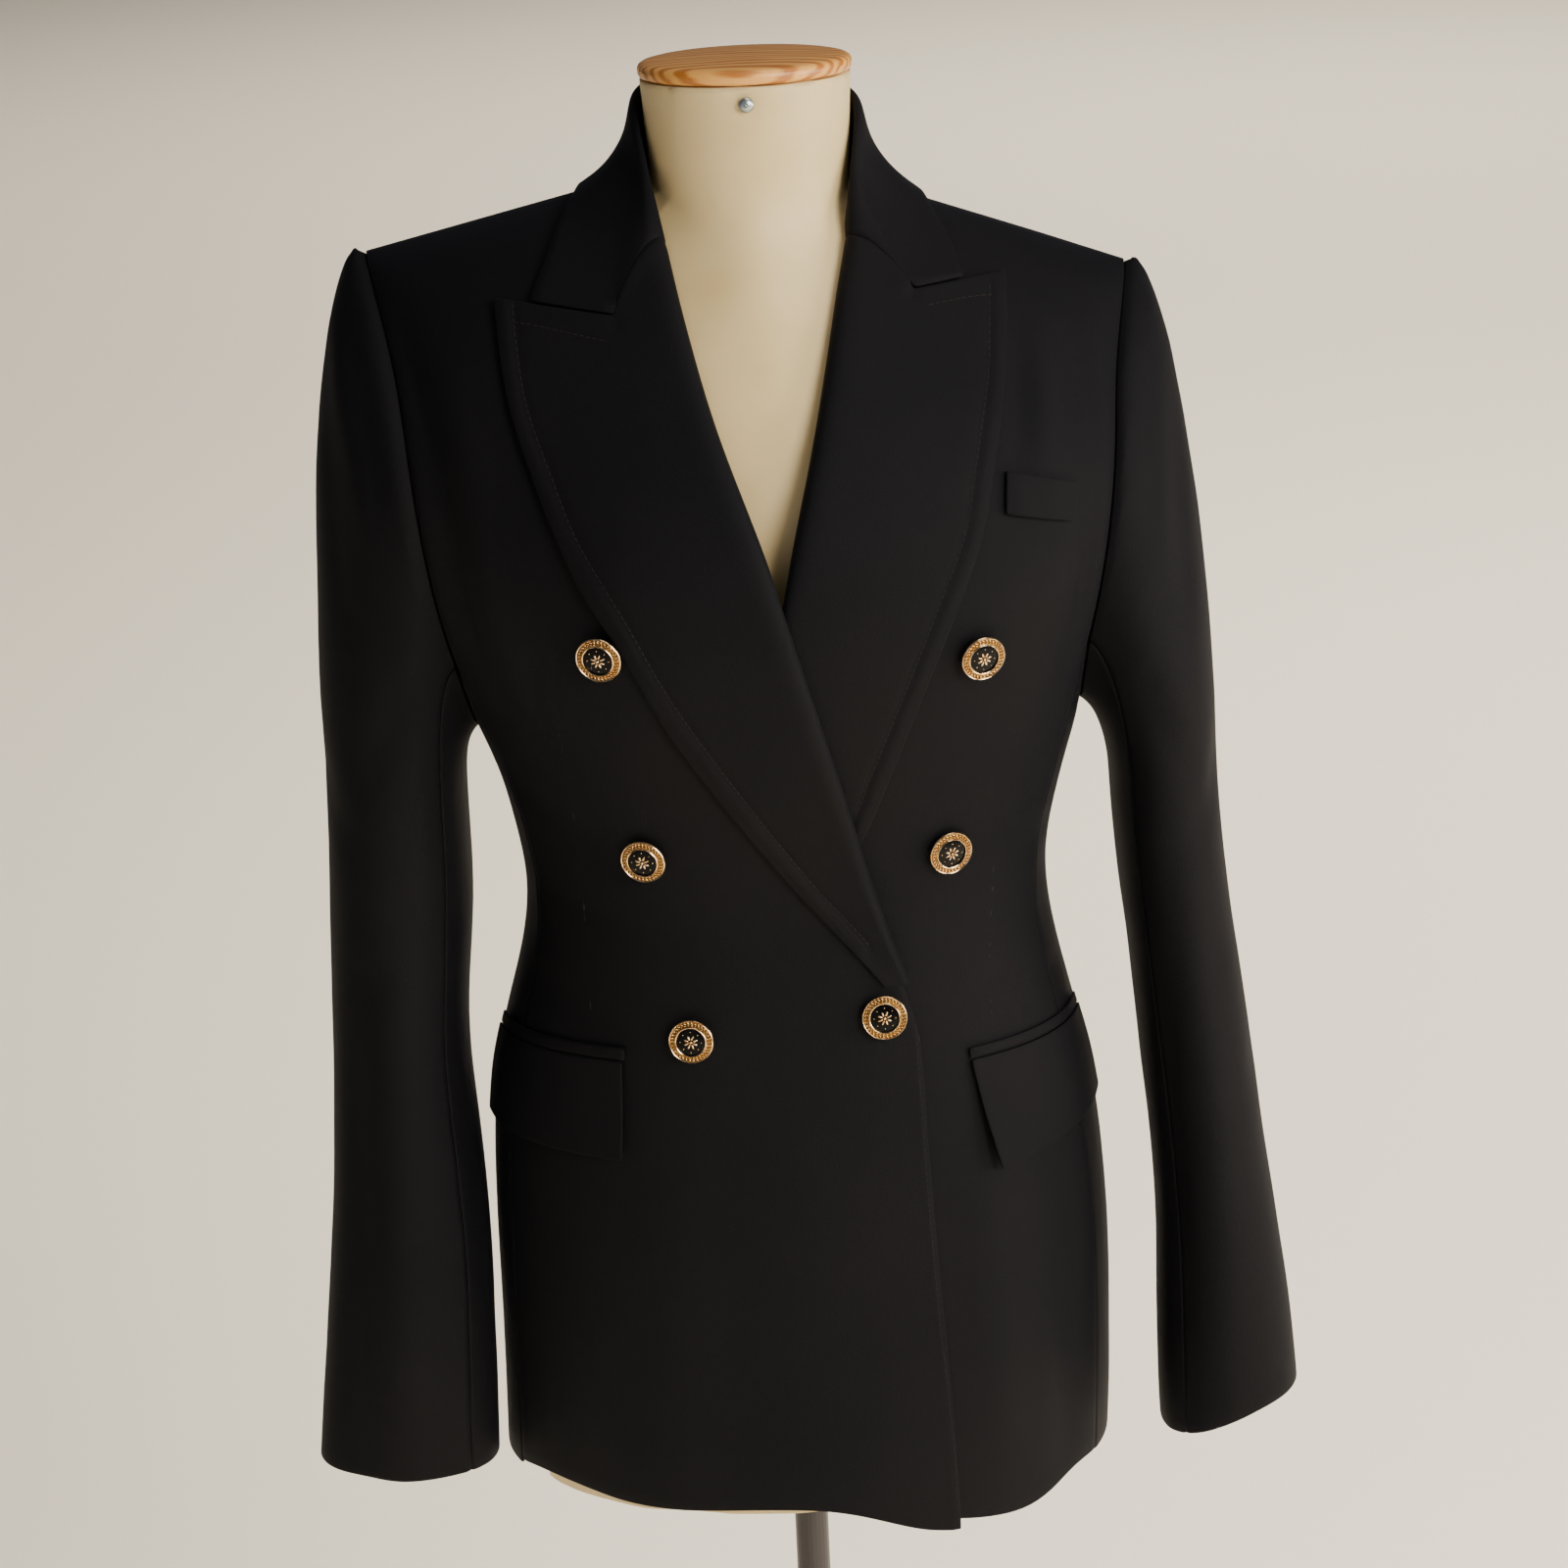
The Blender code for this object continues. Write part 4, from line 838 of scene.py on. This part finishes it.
def seat_of(node, lean):
    """Where a round button lies: its axis is its shortest direction, and its back is its seat."""
    points = [vertex.co.copy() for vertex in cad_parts[node].data.vertices]
    middle = sum(points, Vector()) / len(points)
    spread = Matrix(((0, 0, 0), (0, 0, 0), (0, 0, 0)))
    for point in points:
        away = point - middle
        for i in range(3):
            for j in range(3):
                spread[i][j] += away[i] * away[j] * 1e6
    spread = spread.inverted()
    axis = Vector((0, -1, 0))
    for _ in range(30):
        axis = (spread @ axis).normalized()
    if axis.y > 0:
        axis = -axis
    low = min((point - middle).dot(axis) for point in points)
    seat = middle + axis * low
    axis = (axis + Vector((lean[0], 0, lean[1]))).normalized()
    turn = axis.to_track_quat("Z", "Y").to_matrix().to_4x4()
    return Matrix.Translation(seat) @ turn


RIM_PROFILE = [
    (0, 0.0),
    (0.0030, 0.0),
    (0.0030, 0.0022),
    (0.0104, 0.0022),
    (0.0117, 0.0027),
    (0.0121, 0.0034),
    (0.0120, 0.0041),
    (0.0115, 0.0045),
    (0.0110, 0.0042),
    (0.0108, 0.0036),
    (0.0098, 0.0037),
    (0.0087, 0.0041),
    (0.0085, 0.0049),
    (0.0081, 0.0052),
    (0.0078, 0.0050),
    (0.0077, 0.0036),
    (0, 0.0036),
]
ENAMEL_DOME = [
    (0, 0.0037),
    (0.0076, 0.0037),
    (0.0076, 0.0042),
    (0.0060, 0.0046),
    (0.0030, 0.0049),
    (0, 0.0050),
]
RIM_BEADS = [
    # count, first, radius, rise, half sizes, twist: a rope, dots inside it, the rosette's petals and dots
    (34, 0, 0.0102, 0.0039, (0.00085, 0.00034, 0.00045), 0.75),
    (30, 0, 0.0091, 0.0041, (0.00036, 0.00036, 0.00040), None),
    (8, 0.5, 0.0025, 0.0049, (0.0014, 0.00055, 0.00050), 0.0),
    (8, 0, 0.0056, 0.0047, (0.00030, 0.00030, 0.00025), None),
]
RECESS = (0.0086, 0.0109)
BUTTON_LEAN = {"upper_left": (-0.06, -0.06), "lower_left": (0.0, -0.13), "lower_right": (-0.13, -0.06)}
for height_word in ("upper", "middle", "lower"):
    for side in ("left", "right"):
        word = f"{height_word}_{side}"
        seat = seat_of(f"button_{word}", BUTTON_LEAN.get(word, (0.0, 0.0)))
        rim = bmesh.new()
        ring_of(rim, seat, RIM_PROFILE, 72)
        for face in rim.faces:
            radius = sum(((seat.inverted() @ corner.co).xy.length for corner in face.verts)) / len(face.verts)
            face.material_index = 1 if RECESS[0] < radius < RECESS[1] else 0
        for row in RIM_BEADS:
            bead_ring(rim, seat, *row)
        bead(rim, seat, Vector((0, 0, 0.0051)), (0.0008, 0.0008, 0.0005))
        piece = new_piece(f"button_rim_{word}", rim, gold, "button_gold", f"button_{word}")
        piece.data.materials.append(dark_gold)
        dome = bmesh.new()
        ring_of(dome, seat, ENAMEL_DOME, 48)
        new_piece(f"button_enamel_{word}", dome, enamel, "button_enamel", f"button_centre_{word}")


# The form is smooth and ivory, with a faint mottle and a soft dimple under the screw at its throat.
ivory, ivory_shader = new_material("ivory form cover", "#d8c08c", 0.48, [("Specular IOR Level", 0.4)])
ivory_place = object_place(ivory)
mottle = noise_height(ivory, ivory_place, 14.0, 5.0)
set_tones(ivory, ivory_shader, mottle, (0.30, "#cdb47e"), (0.70, "#dcc594"))
set_bump(ivory, ivory_shader, noise_height(ivory, ivory_place, 260.0, 4.0), 0.12, 0.0006)
SCREW_PLACE = Vector((0, -0.0530, 1.2968))
DIMPLE_DEPTH = 0.0012
CLOTH_ROOM = 0.0014


def form_push(point):
    """The dimple round the screw, and a little room where the fronts lie closest to the form."""
    gap = all_fronts.find_nearest(point)[3]
    inward = Vector((-point.x, -point.y, -0.05)).normalized()
    push = inward * CLOTH_ROOM * smooth_step(0.0025, 0.0005, gap)
    away = Vector((point.x - SCREW_PLACE.x, 0, point.z - SCREW_PLACE.z)).length
    if point.y < -0.02:
        push.y += DIMPLE_DEPTH * math.exp(-((away / 0.0075) ** 2))
    return push


form = fine_copy("form", "form_cover", ivory, 2, form_push)


# The neck cap is turned from light wood with its grain across the top and a worn, rounded edge.
wood, wood_shader = new_material("lacquered light wood", "#cf9c5c", 0.42, [("Coat Weight", 0.15)])
wood_mapping = add_node(
    wood,
    "ShaderNodeMapping",
    [("Vector", object_place(wood)), ("Rotation", (0.35, 0.06, 0.22)), ("Scale", (1.0, 5.0, 9.0))],
)
wood_place = wood_mapping.outputs["Vector"]
year_rings = add_node(
    wood,
    "ShaderNodeTexWave",
    [("Vector", wood_place), ("Scale", 9.0), ("Distortion", 7.0), ("Detail", 3.0)],
    bands_direction="Y",
)
set_tones(wood, wood_shader, year_rings.outputs["Fac"], (0.15, "#ac6824"), (0.75, "#dda04e"))
set_bump(wood, wood_shader, noise_height(wood, wood_place, 90.0, 4.0), 0.3, 0.0004)
CAP_PROFILE = [
    (0, 0.0),
    (0.0520, 0.0),
    (0.0540, 0.0008),
    (0.0549, 0.0022),
    (0.0550, 0.0052),
    (0.0543, 0.0067),
    (0.0527, 0.0077),
    (0.0500, 0.0083),
    (0.0400, 0.0090),
    (0.0200, 0.0098),
    (0, 0.0101),
]
cap = bmesh.new()
ring_of(cap, Matrix.Translation((0, 0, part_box("neck_cap")[0][2])), CAP_PROFILE, 128)
new_piece("neck_cap_wood", cap, wood, "wood", "neck_cap")


# The screw has a low round head in zinc plated steel, with a small pit and a fine cross over it.
zinc, zinc_shader = new_material("zinc plated steel", "#a9b2b2", 0.34, [("Metallic", 1.0)])
set_bump(zinc, zinc_shader, noise_height(zinc, object_place(zinc), 900.0), 0.2, 0.0001)
screw_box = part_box("neck_screw")
screw_turn = Matrix.Rotation(math.radians(90), 4, "X")
screw_seat = Matrix.Translation((0, screw_box[1][1], SCREW_PLACE.z)) @ screw_turn
screw = bmesh.new()
SCREW_HEAD = [(0, 0.0), (0.0040, 0.0), (0.0040, 0.0006), (0.0035, 0.0015), (0.0024, 0.0021), (0.0011, 0.0024)]
ring_of(screw, screw_seat, SCREW_HEAD + [(0.0009, 0.0013), (0, 0.0012)], 40)
for turn in (0, 1):
    arm_seat = screw_seat @ Matrix.Rotation(math.radians(35 + 90 * turn), 4, "Z")
    bead(screw, arm_seat, Vector((0, 0, 0.0019)), (0.0019, 0.00035, 0.0006))
new_piece("neck_screw_head", screw, zinc, "screw_steel", "neck_screw")


# The pole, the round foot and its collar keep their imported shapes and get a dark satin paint.
paint, paint_shader = new_material("dark satin painted steel", "#3a3738", 0.34, [("Metallic", 0.55)])
paint_skin = noise_height(paint, object_place(paint), 380.0, 3.0)
set_roughness(paint, paint_shader, paint_skin, 0.26, 0.44)
set_bump(paint, paint_shader, paint_skin, 0.15, 0.0003)
for node in ("pole", "base", "base_hub"):
    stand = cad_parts[node]
    stand.data.materials.clear()
    stand.data.materials.append(paint)
